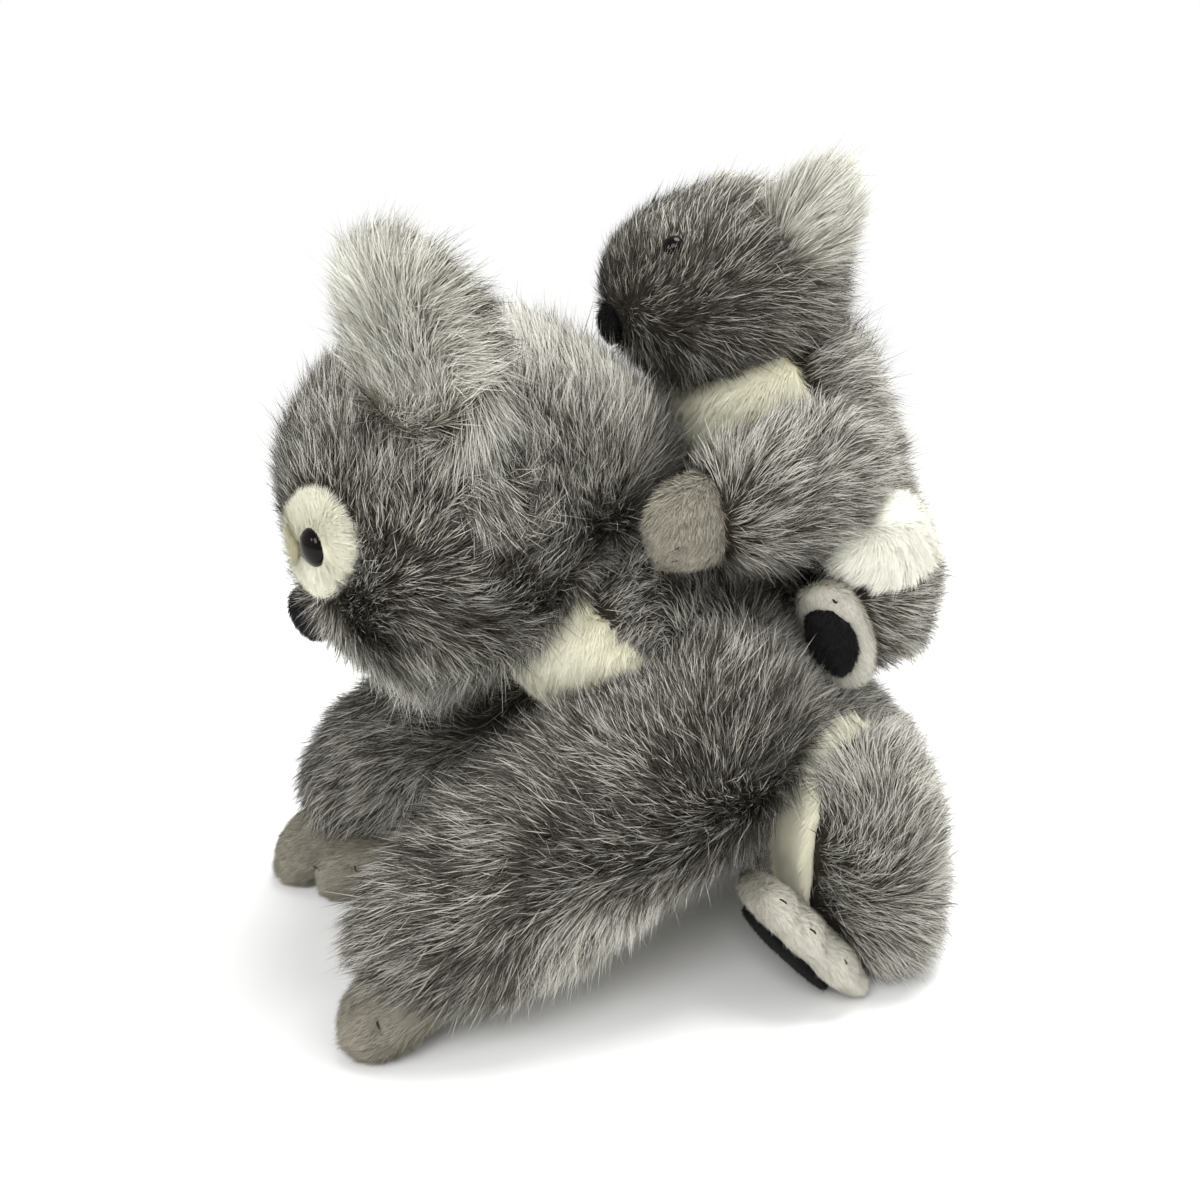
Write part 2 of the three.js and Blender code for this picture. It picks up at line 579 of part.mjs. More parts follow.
// The joey's head
const joeyHeadNeck = joeyNeck.clone()
  .addScaledVector(joeyDirection, joeyNeckPivotShare * joeyTorso.length);
const joeyHeadSeam = new Seam(null, joeyHeadNeck, leftAxis, joeyHeadSwing);
const joeyFaceward = new THREE.Vector3(0, -Math.cos(radians(joeyHeadBow)),
  -Math.sin(radians(joeyHeadBow)));
const joeyCrownward = new THREE.Vector3(0, -Math.sin(radians(joeyHeadBow)),
  Math.cos(radians(joeyHeadBow)));
const joeyHeadMiddle = joeyNeck.clone().add(new THREE.Vector3(0, -joeyHeadAhead, joeyHeadRise));
const joeyHeadForm = new StuffedForm(joeyHead, aimed(joeyHeadMiddle.clone()
  .addScaledVector(joeyFaceward, -joeyHead.length / 2), joeyFaceward, joeyCrownward), joeyMesh);
const joeyHeadPiece = addPiece('joey_head', finishes.grey, joeyHeadSeam, [joeyHeadForm],
  [motherHead, joeyBody, joeyBelly]);
const joeyNoseMiddle = joeyHeadMiddle.clone()
  .addScaledVector(joeyFaceward, joeyHead.length / 2).addScaledVector(joeyCrownward, -joeyNoseDrop);
const joeyNose = new StuffedForm(joeyNoseForm, aimed(joeyNoseMiddle.clone()
  .addScaledVector(joeyCrownward, joeyNoseForm.length / 2), joeyCrownward.clone().negate(),
  joeyFaceward), smallMesh);
addPiece('joey_nose', finishes.nose, joeyHeadSeam, [joeyNose], [joeyHeadPiece, motherHead]);

for (const [side, sign] of sides) {
  const turn = side === 'left' ? radians(joeyEyeTurn) : Math.PI - radians(joeyEyeTurn);
  addEye(`joey_${side}_eye`, joeyEye, joeyHeadSeam, joeyHeadForm, joeyEyeShare, turn, seamGap,
    [joeyHeadPiece]);

  const outward = new THREE.Vector3(sign, 0, 0);
  const earRoot = joeyHeadMiddle.clone().addScaledVector(outward, joeyEarAside)
    .addScaledVector(joeyFaceward, -joeyEarBack).addScaledVector(joeyCrownward, joeyEarRise);
  const earDirection = joeyCrownward.clone().multiplyScalar(Math.cos(radians(joeyEarLieBack)))
    .addScaledVector(joeyFaceward, -Math.sin(radians(joeyEarLieBack)))
    .addScaledVector(outward, Math.tan(radians(joeyEarSplay)));
  const earFront = joeyFaceward.clone().multiplyScalar(Math.cos(radians(joeyEarFacing)))
    .addScaledVector(outward, Math.sin(radians(joeyEarFacing)));
  const earForm = new StuffedForm(joeyEar, aimed(earRoot, earDirection, earFront), smallMesh);
  const earSeam = new Seam(joeyHeadSeam, earRoot,
    new THREE.Vector3().setFromMatrixColumn(earForm.place, 0), joeyEarSwing);
  addPiece(`joey_${side}_ear`, finishes.earBack, earSeam, [earForm], [joeyHeadPiece, joeyBody]);
}

// The joey's arms reach forward to the mother's neck
for (const [side, sign] of sides) {
  const shoulder = joeyNeck.clone()
    .add(new THREE.Vector3(sign * joeyShoulderAside, joeyShoulderBack, -joeyShoulderDrop));
  const level = Math.cos(radians(joeyArmPitch));
  const armDirection = new THREE.Vector3(sign * level * Math.sin(radians(joeyArmSplay)),
    -level * Math.cos(radians(joeyArmSplay)), -Math.sin(radians(joeyArmPitch)));
  const armForm = new StuffedForm(joeyArm, aimed(shoulder, armDirection, joeyCrownward), limbMesh);
  const armPoint = shoulder.clone()
    .addScaledVector(armDirection, joeyArmPivotShare * joeyArm.length);
  const armSeam = new Seam(null, armPoint, leftAxis, joeyArmSwing);
  const carriers = [joeyBody, joeyBelly, joeyHeadPiece, ...motherPieces];
  const armPiece = addPiece(`joey_${side}_arm`, finishes.grey, armSeam, [armForm], carriers);

  const handDirection = new THREE.Vector3(armDirection.x, -Math.cos(radians(joeyHandPitch)),
    -Math.sin(radians(joeyHandPitch)));
  const handEnd = shoulder.clone().addScaledVector(armDirection, joeyArm.length)
    .addScaledVector(handDirection, joeyHandReach);
  const handForm = new StuffedForm(joeyHand, aimed(handEnd.clone()
    .addScaledVector(handDirection, -joeyHand.length), handDirection, joeyCrownward), smallMesh);
  addPiece(`joey_${side}_hand`, finishes.paw, armSeam, [handForm], [armPiece, ...carriers]);

  // The joey's hind legs hang down beside its rump, with the soles turned outwards
  const legTop = joeyNeck.clone()
    .add(new THREE.Vector3(sign * joeyLegAside, joeyLegBack, -joeyLegDrop));
  const legDirection = new THREE.Vector3(0, Math.sin(radians(joeyLegLean)),
    -Math.cos(radians(joeyLegLean)));
  const forward = new THREE.Vector3(0, -1, 0);
  const legForm = new StuffedForm(joeyLeg, aimed(legTop, legDirection, forward), limbMesh);
  const hip = legTop.clone().addScaledVector(legDirection, joeyLegPivotShare * joeyLeg.length);
  const legSeam = new Seam(null, hip, leftAxis, joeyLegSwing);
  const holders = [joeyBody, joeyBelly, armPiece, ...motherPieces];
  const legPiece = addPiece(`joey_${side}_leg`, finishes.grey, legSeam, [legForm], holders);
  const liningTurn = radians(side === 'left' ? joeyLegPanelTurn : 180 - joeyLegPanelTurn);
  const lining = addPiece(`joey_${side}_leg_lining`, finishes.white, legSeam,
    [new SetInPanel(legForm, joeyLegPanel, liningTurn)], holders);
  const heel = joeyNeck.clone()
    .add(new THREE.Vector3(sign * joeyFootAside, joeyFootBack, -joeyFootDrop));
  const facing = new THREE.Vector3(sign * Math.sin(radians(joeyFootFacing)),
    -Math.cos(radians(joeyFootFacing)), 0);
  const toeward = new THREE.Vector3(0, -Math.cos(radians(joeyFootPitch)),
    Math.sin(radians(joeyFootPitch)));
  const footForm = new StuffedForm(joeyFoot, aimed(heel, toeward, facing.clone().negate()),
    smallMesh);
  const footPiece = addPiece(`joey_${side}_foot`, finishes.paw, legSeam, [footForm],
    [legPiece, lining, ...holders]);
  addPiece(`joey_${side}_sole`, finishes.sole, legSeam,
    [new SetInPanel(footForm, joeySolePanel, -Math.PI / 2)], [legPiece, lining, ...holders]);
}

// Each piece's mesh stands in a group for its owner
const toy = new THREE.Group();
const mother = new THREE.Group();
const joey = new THREE.Group();
toy.add(mother, joey);
for (const { name, finish, solid } of pieces) {
  const material = new THREE.MeshStandardMaterial({ ...finish, metalness: 0 });
  const mesh = new THREE.Mesh(geometryFrom(solid), material);
  mesh.name = name;
  (name.startsWith('mother') ? mother : joey).add(mesh);
}

// The origin is on the floor, under the middle of the toy's width and length
const middle = new THREE.Box3().setFromObject(toy).getCenter(new THREE.Vector3());
toy.position.set(-middle.x, -middle.y, 0);
toy.updateMatrixWorld(true);

export default toy;
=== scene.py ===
import json
import math

import bmesh
import bpy
import numpy as np
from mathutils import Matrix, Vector
from mathutils.bvhtree import BVHTree
from mathutils.kdtree import KDTree

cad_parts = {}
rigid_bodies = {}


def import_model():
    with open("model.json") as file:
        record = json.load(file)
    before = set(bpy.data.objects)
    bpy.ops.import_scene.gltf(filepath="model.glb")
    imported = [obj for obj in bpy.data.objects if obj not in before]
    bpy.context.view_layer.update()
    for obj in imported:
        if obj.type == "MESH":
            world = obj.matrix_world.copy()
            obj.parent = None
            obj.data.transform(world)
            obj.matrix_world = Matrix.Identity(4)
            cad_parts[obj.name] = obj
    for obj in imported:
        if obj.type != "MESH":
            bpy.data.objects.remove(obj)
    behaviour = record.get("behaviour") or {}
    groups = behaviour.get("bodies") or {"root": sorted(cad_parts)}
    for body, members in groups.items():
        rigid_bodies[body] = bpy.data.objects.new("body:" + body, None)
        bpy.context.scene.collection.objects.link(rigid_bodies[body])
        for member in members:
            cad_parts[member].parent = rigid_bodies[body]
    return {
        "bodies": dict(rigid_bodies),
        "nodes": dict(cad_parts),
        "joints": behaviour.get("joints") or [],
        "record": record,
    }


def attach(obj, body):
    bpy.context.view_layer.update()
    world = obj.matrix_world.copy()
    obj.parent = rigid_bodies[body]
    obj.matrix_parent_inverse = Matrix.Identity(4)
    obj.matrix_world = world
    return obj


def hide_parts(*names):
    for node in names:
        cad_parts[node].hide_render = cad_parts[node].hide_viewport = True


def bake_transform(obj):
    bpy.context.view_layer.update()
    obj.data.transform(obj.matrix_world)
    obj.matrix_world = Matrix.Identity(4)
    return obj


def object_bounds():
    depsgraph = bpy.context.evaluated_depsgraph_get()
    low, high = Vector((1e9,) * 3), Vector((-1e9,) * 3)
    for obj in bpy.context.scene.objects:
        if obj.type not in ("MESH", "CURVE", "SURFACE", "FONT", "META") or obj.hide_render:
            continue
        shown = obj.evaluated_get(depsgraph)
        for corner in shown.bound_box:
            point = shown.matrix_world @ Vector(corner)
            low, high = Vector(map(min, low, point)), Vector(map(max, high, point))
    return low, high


# Looks of the plush koala with her joey: stuffed skins over the CAD forms, and pile on the skins.
# Metres, +Z up. The mother faces -Y and her left side is +X.

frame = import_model()
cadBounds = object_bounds()
scene = bpy.context.scene
frame["slots"] = {part["node"]: part["material_slot"]
                  for part in frame["record"]["subparts"]}
print("stage: frame loaded,", len(frame["nodes"]), "nodes")


# Helpers

def unit(vectors):
    return vectors / np.maximum(np.linalg.norm(vectors, axis=-1, keepdims=True), 1e-9)


def meshOf(shape, name, material=None):
    # the finished mesh of a bmesh
    data = bpy.data.meshes.new(name)
    shape.to_mesh(data)
    shape.free()
    if material:
        data.materials.append(material)
    return data


def fillHoles(shape):
    bmesh.ops.holes_fill(shape, edges=[edge for edge in shape.edges if edge.is_boundary])


def turnAndPlace(shape, verts, axis, place):
    spin = Vector((0, 0, 1)).rotation_difference(axis).to_matrix()
    bmesh.ops.rotate(shape, matrix=spin, verts=verts)
    bmesh.ops.translate(shape, vec=place, verts=verts)


# Camera and lamps

camera = {"azimuth": 70, "elevation": 18.6, "distance": 0.440, "target": (0.0, -0.00876, 0.1195),
          "lens": 40, "sensor": 36, "clip": (0.01, 50)}

studio = {
    "worldLight": 0.58,
    "lamps": [  # name, place, aimed at, size, watts
        ("keySoftbox", (0.95, -0.75, 1.15), (0, 0, 0.12), 0.80, 13.5),
        ("topSoftbox", (0.05, 0.25, 1.35), (0, 0, 0.12), 0.75, 17.5),
        ("frontSoftbox", (0.30, -1.15, 0.85), (0, -0.05, 0.14), 0.30, 2.0),
        ("fillSoftbox", (0.6, 1.2, 0.6), (0, 0, 0.12), 0.9, 5.5),
    ],
    "floorRadius": 4.0,
    "floorSegments": 96,
    "floorTone": (0.93, 0.93, 0.925, 1),
    "fadeStart": 0.30,
    "fadeEnd": 1.10,
    "backdrop": (1, 1, 1, 1),
}


def around(azimuth, elevation):
    a, e = math.radians(azimuth), math.radians(elevation)
    return Vector((math.sin(a) * math.cos(e), -math.cos(a) * math.cos(e), math.sin(e)))


def lookAt(thing, place, target):
    thing.location = place
    thing.rotation_euler = (Vector(target) - Vector(place)).to_track_quat("-Z", "Y").to_euler()
    scene.collection.objects.link(thing)


def addCamera():
    lens = bpy.data.cameras.new("photoCamera")
    lens.lens = camera["lens"]
    lens.sensor_width = camera["sensor"]
    lens.clip_start, lens.clip_end = camera["clip"]
    viewer = bpy.data.objects.new("photoCamera", lens)
    back = camera["distance"] * around(camera["azimuth"], camera["elevation"])
    lookAt(viewer, Vector(camera["target"]) + back, camera["target"])
    scene.camera = viewer
    scene.view_settings.view_transform = "Standard"


def addLamps():
    for name, place, target, size, watts in studio["lamps"]:
        lamp = bpy.data.lights.new(name, "AREA")
        lamp.shape = "DISK"
        lamp.size = size
        lamp.energy = watts
        lookAt(bpy.data.objects.new(name, lamp), place, target)


addCamera()
addLamps()


# Finishes: a wire is one socket of a tree, and Python expressions on wires add Math nodes

class Wire:
    def __init__(self, finish, socket):
        self.finish = finish
        self.socket = socket

    def out(self, name):
        return Wire(self.finish, self.socket.node.outputs[name])

    def math(self, operation, first, second):
        return self.finish.node("ShaderNodeMath", {"operation": operation}, {0: first, 1: second})

    def __add__(self, other):
        return self.math("ADD", self, other)

    def __sub__(self, other):
        return self.math("SUBTRACT", self, other)

    def __rsub__(self, other):
        return self.math("SUBTRACT", other, self)

    def __mul__(self, other):
        return self.math("MULTIPLY", self, other)

    __radd__ = __add__
    __rmul__ = __mul__


class Finish:
    def __init__(self, name, constants, holder=bpy.data.materials, surface="Principled BSDF"):
        self.data = holder.new(name)
        self.data.use_nodes = True
        self.tree = self.data.node_tree
        self.surface = self.tree.nodes[surface]
        for socket, value in constants.items():
            self.surface.inputs[socket].default_value = value

    def feed(self, socket, value):
        if isinstance(value, Wire):
            self.tree.links.new(value.socket, socket)
        else:
            socket.default_value = value

    def node(self, kind, settings, inputs, output=0):
        made = self.tree.nodes.new(kind)
        for key, value in settings.items():
            if key == "stops":
                ramp = made.color_ramp
                while len(ramp.elements) < len(value):
                    ramp.elements.new(1)
                for element, (place, colour) in zip(ramp.elements, value):
                    element.position = place
                    element.color = (*colour, 1)
            else:
                setattr(made, key, value)
        for key, value in inputs.items():
            self.feed(made.inputs[key], value)
        return Wire(self, made.outputs[output])

    def ramp(self, share, stops):
        return self.node("ShaderNodeValToRGB", {"stops": stops}, {0: share})

    def blend(self, share, first, second):
        return self.node("ShaderNodeMix", {"data_type": "RGBA"}, {0: share, 6: first, 7: second}, 2)

    def noise(self, scale, detail=3.0):
        place = self.node("ShaderNodeTexCoord", {}, {}, "Object")
        return self.node("ShaderNodeTexNoise", {}, {"Vector": place, "Scale": scale,
                         "Detail": detail, "Roughness": 0.55})

    def bump(self, height, strength, distance):
        relief = self.node("ShaderNodeBump", {}, {"Strength": strength, "Distance": distance,
                           "Height": height})
        self.feed(self.surface.inputs["Normal"], relief)

    def colour(self, wire):
        self.feed(self.surface.inputs["Base Color"], wire)

    def cover(self, output, share, shader):
        # shows another shader in place of this surface, by a share
        own = Wire(self, self.surface.outputs[0])
        mixed = self.node("ShaderNodeMixShader", {}, {0: share, 1: own, 2: shader})
        self.feed(self.tree.nodes[output].inputs["Surface"], mixed)


pileLooks = {  # colours from root to tip, of the darkest hair and of the palest hair
    "frosted": {"dark": [(0, (0.010, 0.0075, 0.0050)), (0.5, (0.020, 0.0155, 0.0110)),
                         (1, (0.044, 0.035, 0.025))],
                "pale": [(0, (0.024, 0.019, 0.013)), (0.25, (0.115, 0.100, 0.077)),
                         (0.55, (0.51, 0.49, 0.425)), (1, (0.92, 0.915, 0.845))]},
    "earPile": {"dark": [(0, (0.09, 0.083, 0.064)), (0.5, (0.21, 0.195, 0.155)),
                         (1, (0.40, 0.38, 0.32))],
                "pale": [(0, (0.22, 0.205, 0.165)), (0.4, (0.58, 0.56, 0.48)),
                         (0.8, (0.95, 0.95, 0.88))]},
    # In the white, patch and cream piles the roots are a little darker than the tips: painted shade
    # deep in the pile.
    "whitePile": {"dark": [(0, (0.82, 0.81, 0.71)), (1, (0.87, 0.865, 0.77))],
                  "pale": [(0, (0.84, 0.83, 0.73)), (1, (0.90, 0.895, 0.80))]},
    "patchPile": {"dark": [(0, (0.78, 0.755, 0.62)), (1, (0.86, 0.84, 0.70))],
                  "pale": [(0, (0.82, 0.80, 0.66)), (1, (0.90, 0.885, 0.76))]},
    "creamPile": {"dark": [(0, (0.88, 0.85, 0.66)), (1, (0.93, 0.905, 0.73))],
                  "pale": [(0, (0.90, 0.875, 0.69)), (1, (0.96, 0.945, 0.79))]},
    "pawPile": {"dark": [(0, (0.13, 0.118, 0.090)), (1, (0.28, 0.258, 0.205))],
                "pale": [(0, (0.26, 0.24, 0.19)), (1, (0.52, 0.49, 0.40))]},
    "footPile": {"dark": [(0, (0.38, 0.362, 0.30)), (1, (0.57, 0.55, 0.475))],
                 "pale": [(0, (0.56, 0.54, 0.465)), (1, (0.84, 0.825, 0.735))]},
    "blackPile": {"dark": [(0, (0.002, 0.002, 0.002)), (1, (0.006, 0.006, 0.0065))],
                  "pale": [(0, (0.004, 0.004, 0.004)), (1, (0.014, 0.014, 0.015))]},
}


def pileFinish(name, look):
    finish = Finish(name, {"Roughness": 0.62, "Specular IOR Level": 0.14})
    place = finish.node("ShaderNodeUVMap", {"uv_map": "furTone"}, {})
    along = finish.node("ShaderNodeSeparateXYZ", {}, {0: place}, "X")
    tone = along.out("Y")
    finish.colour(finish.blend(tone, finish.ramp(along, look["dark"]),
                               finish.ramp(along, look["pale"])))
    return finish.data


backingLook = {"coarseGrain": 160, "fineGrain": 1400, "fineDetail": 2, "fineShare": 0.4,
               "stops": (0.35, 0.68), "bump": 0.5, "bumpHeight": 0.0006}
backingTones = {  # the cloth under each pile: its name, and its darkest and palest threads
    "frosted": ("greyBacking", (0.020, 0.017, 0.013), (0.050, 0.044, 0.035)),
    "earPile": ("earBacking", (0.09, 0.08, 0.062), (0.19, 0.175, 0.14)),
    "whitePile": ("whiteBacking", (0.78, 0.77, 0.67), (0.86, 0.855, 0.76)),
    "patchPile": ("patchBacking", (0.80, 0.78, 0.65), (0.88, 0.86, 0.73)),
    "creamPile": ("creamBacking", (0.83, 0.79, 0.57), (0.93, 0.90, 0.69)),
    "pawPile": ("pawBacking", (0.16, 0.147, 0.115), (0.32, 0.295, 0.24)),
    "footPile": ("footBacking", (0.36, 0.345, 0.29), (0.60, 0.58, 0.51)),
    "blackPile": ("blackBacking", (0.002, 0.002, 0.002), (0.010, 0.010, 0.010)),
}


def backingFinish(name, low, high):
    finish = Finish(name, {"Roughness": 0.9, "Specular IOR Level": 0.1})
    coarse = finish.noise(backingLook["coarseGrain"])
    fine = finish.noise(backingLook["fineGrain"], backingLook["fineDetail"])
    weave = coarse + backingLook["fineShare"] * (fine - coarse)
    finish.colour(finish.ramp(weave, list(zip(backingLook["stops"], (low, high)))))
    finish.bump(fine, backingLook["bump"], backingLook["bumpHeight"])
    return finish.data


eyeTones = {"grain": 900, "mottle": 0.05, "rings": [
    (0.42, (0.0015, 0.0014, 0.0013)), (0.56, (0.0060, 0.0036, 0.0024)),
    (0.86, (0.0040, 0.0026, 0.0018)), (1.0, (0.0012, 0.0012, 0.0012))]}


def eyeFinish():
    finish = Finish("eyePlastic", {"Roughness": 0.08, "Specular IOR Level": 0.15})
    ring = finish.node("ShaderNodeAttribute", {"attribute_name": "ring"}, {}, "Fac")
    mottle = eyeTones["mottle"] * finish.noise(eyeTones["grain"])
    finish.colour(finish.ramp(ring + mottle, eyeTones["rings"]))
    return finish.data


speckledLooks = {  # small hard parts with a fine grain
    "washerPlastic": {"constants": {"Roughness": 0.45}, "grain": 500,
                      "stops": [(0.3, (0.62, 0.6, 0.56)), (0.7, (0.72, 0.7, 0.66))]},
    "threadCotton": {"constants": {"Roughness": 0.8, "Specular IOR Level": 0.2}, "grain": 1500,
                     "stops": [(0.35, (0.012, 0.010, 0.008)), (0.7, (0.035, 0.029, 0.023))]},
}


def speckledFinish(name):
    look = speckledLooks[name]
    finish = Finish(name, look["constants"])
    finish.colour(finish.ramp(finish.noise(look["grain"]), look["stops"]))
    return finish.data


pileFinishes = {name: pileFinish(name, look) for name, look in pileLooks.items()}
backings = {pile: backingFinish(*look) for pile, look in backingTones.items()}
eyePlastic = eyeFinish()
washerPlastic = speckledFinish("washerPlastic")
threadCotton = speckledFinish("threadCotton")


# Floor and world: the camera sees both fade into the plain backdrop

def floorFinish():
    finish = Finish("paleFloor", {"Base Color": studio["floorTone"], "Roughness": 0.85,
                                  "Specular IOR Level": 0.05})
    place = finish.node("ShaderNodeTexCoord", {}, {}, "Object")
    reach = finish.node("ShaderNodeVectorMath", {"operation": "LENGTH"}, {0: place}, "Value")
    fade = finish.node("ShaderNodeMapRange", {"interpolation_type": "SMOOTHSTEP"},
                       {"Value": reach, "From Min": studio["fadeStart"],
                        "From Max": studio["fadeEnd"]})
    seen = finish.node("ShaderNodeLightPath", {}, {}, "Is Camera Ray")
    glow = finish.node("ShaderNodeEmission", {}, {"Color": studio["backdrop"], "Strength": 1.0})
    finish.cover("Material Output", fade * seen, glow)
    return finish.data


def addFloor():
    shape = bmesh.new()
    bmesh.ops.create_circle(shape, cap_ends=True, segments=studio["floorSegments"],
                            radius=studio["floorRadius"])
    floor = bpy.data.objects.new("studioFloor", meshOf(shape, "studioFloor", floorFinish()))
    scene.collection.objects.link(floor)


def addWorld():
    sky = Finish("studioWorld", {"Color": (1, 1, 1, 1), "Strength": studio["worldLight"]},
                 bpy.data.worlds, "Background")
    seen = sky.node("ShaderNodeLightPath", {}, {}, "Is Camera Ray")
    white = sky.node("ShaderNodeBackground", {}, {"Color": studio["backdrop"]})
    sky.cover("World Output", seen, white)
    scene.world = sky.data


addFloor()
addWorld()
print("stage: camera, lamps and floor made")


# Where each piece rides: its body, or, for a limb piece by a seam, no body: its place is baked in
# where it stands

seams = {joint["child"]: joint for joint in frame["joints"]}
bodyOf = {node: body for body, nodes in frame["record"]["behaviour"]["bodies"].items()
          for node in nodes}
seamReach = {"head": 0.014, "arm": 0.016, "leg": 0.012, "ear": 0.005}  # each way from the seam
joeyReach = 0.6  # share of those for the joey
seamSense = {  # from the carrier to the swinging piece
    "mother_head": (0, -0.8, 0.6), "joey_head": (0, -0.45, 0.9),
    "mother_arm": (0, -0.86, -0.5), "joey_arm": (0, -0.95, -0.15),
    "mother_leg": (0, 0.1, -1), "joey_leg": (0, 0.1, -1),
    "mother_ear": (0, 0.45, 0.9), "joey_ear": (0, 0.65, 0.75),
}


def carry(piece, node):
    body = bodyOf[node]
    if body not in seams or not any(limb in node for limb in seamReach):
        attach(piece, body)
        return
    owner, part = body.split("_")[0], body.split("_")[-1]
    reach = Vector(seamSense[f"{owner}_{part}"]).normalized() * seamReach[part]
    if owner == "joey":
        reach *= joeyReach
    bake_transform(piece)


# Skins: a finer, smoothed copy of each soft CAD form

skinGrades = {  # grid size of the skin, and rounds of smoothing
    "large": (0.0032, 9),
    "limb": (0.0027, 8),
    "small": (0.0015, 12),
    "paw": (0.0011, 12),
    "broad": (0.0017, 6),
    "panel": (0.00125, 6),
}
skinLook = {"weld": 0.00001, "softness": 0.5}
pileBySlot = {"grey_pile": "frosted", "ear_pile": "earPile", "white_pile": "whitePile",
              "cream_pile": "creamPile", "paw": "pawPile", "sole": "blackPile",
              "nose": "blackPile"}
pileByEnding = {"_foot": "footPile", "_ear_lining": "earPile", "_eye_patch": "patchPile"}

# Stuffing and stitched folds, in millimetres on the left side. The right side mirrors them.
swells = {  # place, radius, and how far the skin is pushed out
    "mother_belly_panel": [((34, -32, 117), 14, 3.5), ((24, -36, 108), 12, 2.5)],
    "mother_hand": [((50, -104, 14), 6, 1.0), ((36, -106, 10), 6, 1.0)],
    "mother_eye_patch": [((22, -103, 155), 30, 0.9)],
    "mother_foot": [((74.5, 23.2, 41.3), 6.0, 3.4), ((79.6, 31.3, 32.4), 6.0, 3.4),
                    ((80.1, 42.7, 19.4), 6.0, 3.4),
                    ((77.0, 27.2, 36.8), 3.6, -2.4), ((79.8, 37.0, 25.9), 3.6, -2.4)],
    "joey_hand": [((55, -9, 150), 7, 1.4), ((55, 8, 150), 7, 2.0), ((52, -2, 168), 8, -0.8)],
    "joey_foot": [((56, 47, 130), 6, 1.2)],
    "joey_leg_lining": [((46, 60, 142), 9, 3.5), ((50, 68, 142), 12, 1.5)],
}
trims = {  # share of its CAD size that a padded nose shows among the long pile
    "mother_nose": (0.80, 1.0, 0.76),
    "joey_nose": (1.0, 1.0, 0.94),
}
stitches = {  # points along each stitched fold
    "mother_hand": [[(42.6, -106.0, 14.2), (44.4, -105.4, 13.2)],
                    [(57.4, -99.2, 17.4), (58.6, -98.2, 14.6)],
                    [(33.2, -90.6, 17.4), (31.6, -87.8, 17.2)],
                    [(29.9, -83.4, 16.9), (29.1, -81.0, 16.5)]],
    "mother_foot": [[(74.1, 22.4, 42.2), (74.9, 24.0, 40.4)],
                    [(79.2, 30.5, 33.3), (80.0, 32.1, 31.5)],
                    [(79.7, 41.9, 20.3), (80.5, 43.5, 18.5)]],
    "joey_hand": [[(53.6, -8.4, 150.0), (55.3, -6.8, 150.4), (56.5, -3.8, 152.8)],
                  [(53.8, -6.4, 146.0), (55.0, -4.6, 147.2)]],
    "joey_foot": [[(56.1, 45.9, 130.3), (56.1, 47.6, 129.4)]],
}
stitchLook = {"depth": 0.0022, "reach": 0.0021, "bare": 0.0034, "bareShare": 0.2,
              "bareFade": 1.5, "thread": 0.00034, "lift": 0.0001, "sunkEnd": -0.0008,
              "steps": 7, "sides": 8}


def marksOf(table, node):
    # the entries of a table for a piece, each as places and settings on the piece's own side
    key = node.replace("_left", "").replace("_right", "")
    marks = []
    for entry in table.get(key, []):
        isPath = isinstance(entry, list)
        places = np.array(entry if isPath else [entry[0]], float) / 1000
        rest = () if isPath else entry[1:]
        if "_right_" not in node:
            marks.append((places, *rest))
        if "_left_" not in node:
            marks.append((places * (-1, 1, 1), *rest))
    return marks


def awayFrom(points, path):
    # how far points lie from a path of places
    nearest = np.full(len(points), 1.0)
    for start, end in zip(path[:-1], path[1:]):
        along = end - start
        share = np.clip((points - start) @ along / (along @ along), 0, 1)
        gap = np.linalg.norm(points - start - share[:, None] * along, axis=1)
        nearest = np.minimum(nearest, gap)
    return nearest


def surfaceOf(data):
    # the points of a mesh and their normals
    points, normals = np.empty((2, len(data.vertices), 3), np.float32)
    data.vertices.foreach_get("co", points.ravel())
    data.vertex_normals.foreach_get("vector", normals.ravel())
    return points, normals


def stuff(data, node):
    # trims, swells and folds the skin of a piece
    points, normals = surfaceOf(data)
    if node in trims:
        middle = (points.min(0) + points.max(0)) / 2
        points = middle + (points - middle) * np.array(trims[node], np.float32)
    push = np.zeros(len(points))
    for places, radius, rise in marksOf(swells, node):
        away = np.linalg.norm(points - places[0], axis=1) / (radius / 1000)
        push += rise / 1000 * np.exp(-away ** 2)
    for path, in marksOf(stitches, node):
        away = awayFrom(points, path) / stitchLook["reach"]
        push -= stitchLook["depth"] * np.exp(-away ** 2)
    points = points + normals * push[:, None]
    data.vertices.foreach_set("co", points.astype(np.float32).ravel())
    data.update()


def addPiece(name, data):
    piece = bpy.data.objects.new(name, data)
    scene.collection.objects.link(piece)
    return piece


def gradeOf(node):
    if node.endswith("belly_panel"):
        return "broad"
    if frame["slots"][node] in ("cream_pile", "white_pile", "sole"):
        return "panel"
    if node.endswith(("_hand", "_foot")):
        return "paw"
    if node in ("mother_torso", "mother_head"):
        return "large"
    return "limb" if frame["slots"][node] == "grey_pile" else "small"


def backingOf(node):
    for ending, pile in pileByEnding.items():
        if node.endswith(ending):
            return backings[pile]
    return backings[pileBySlot[frame["slots"][node]]]


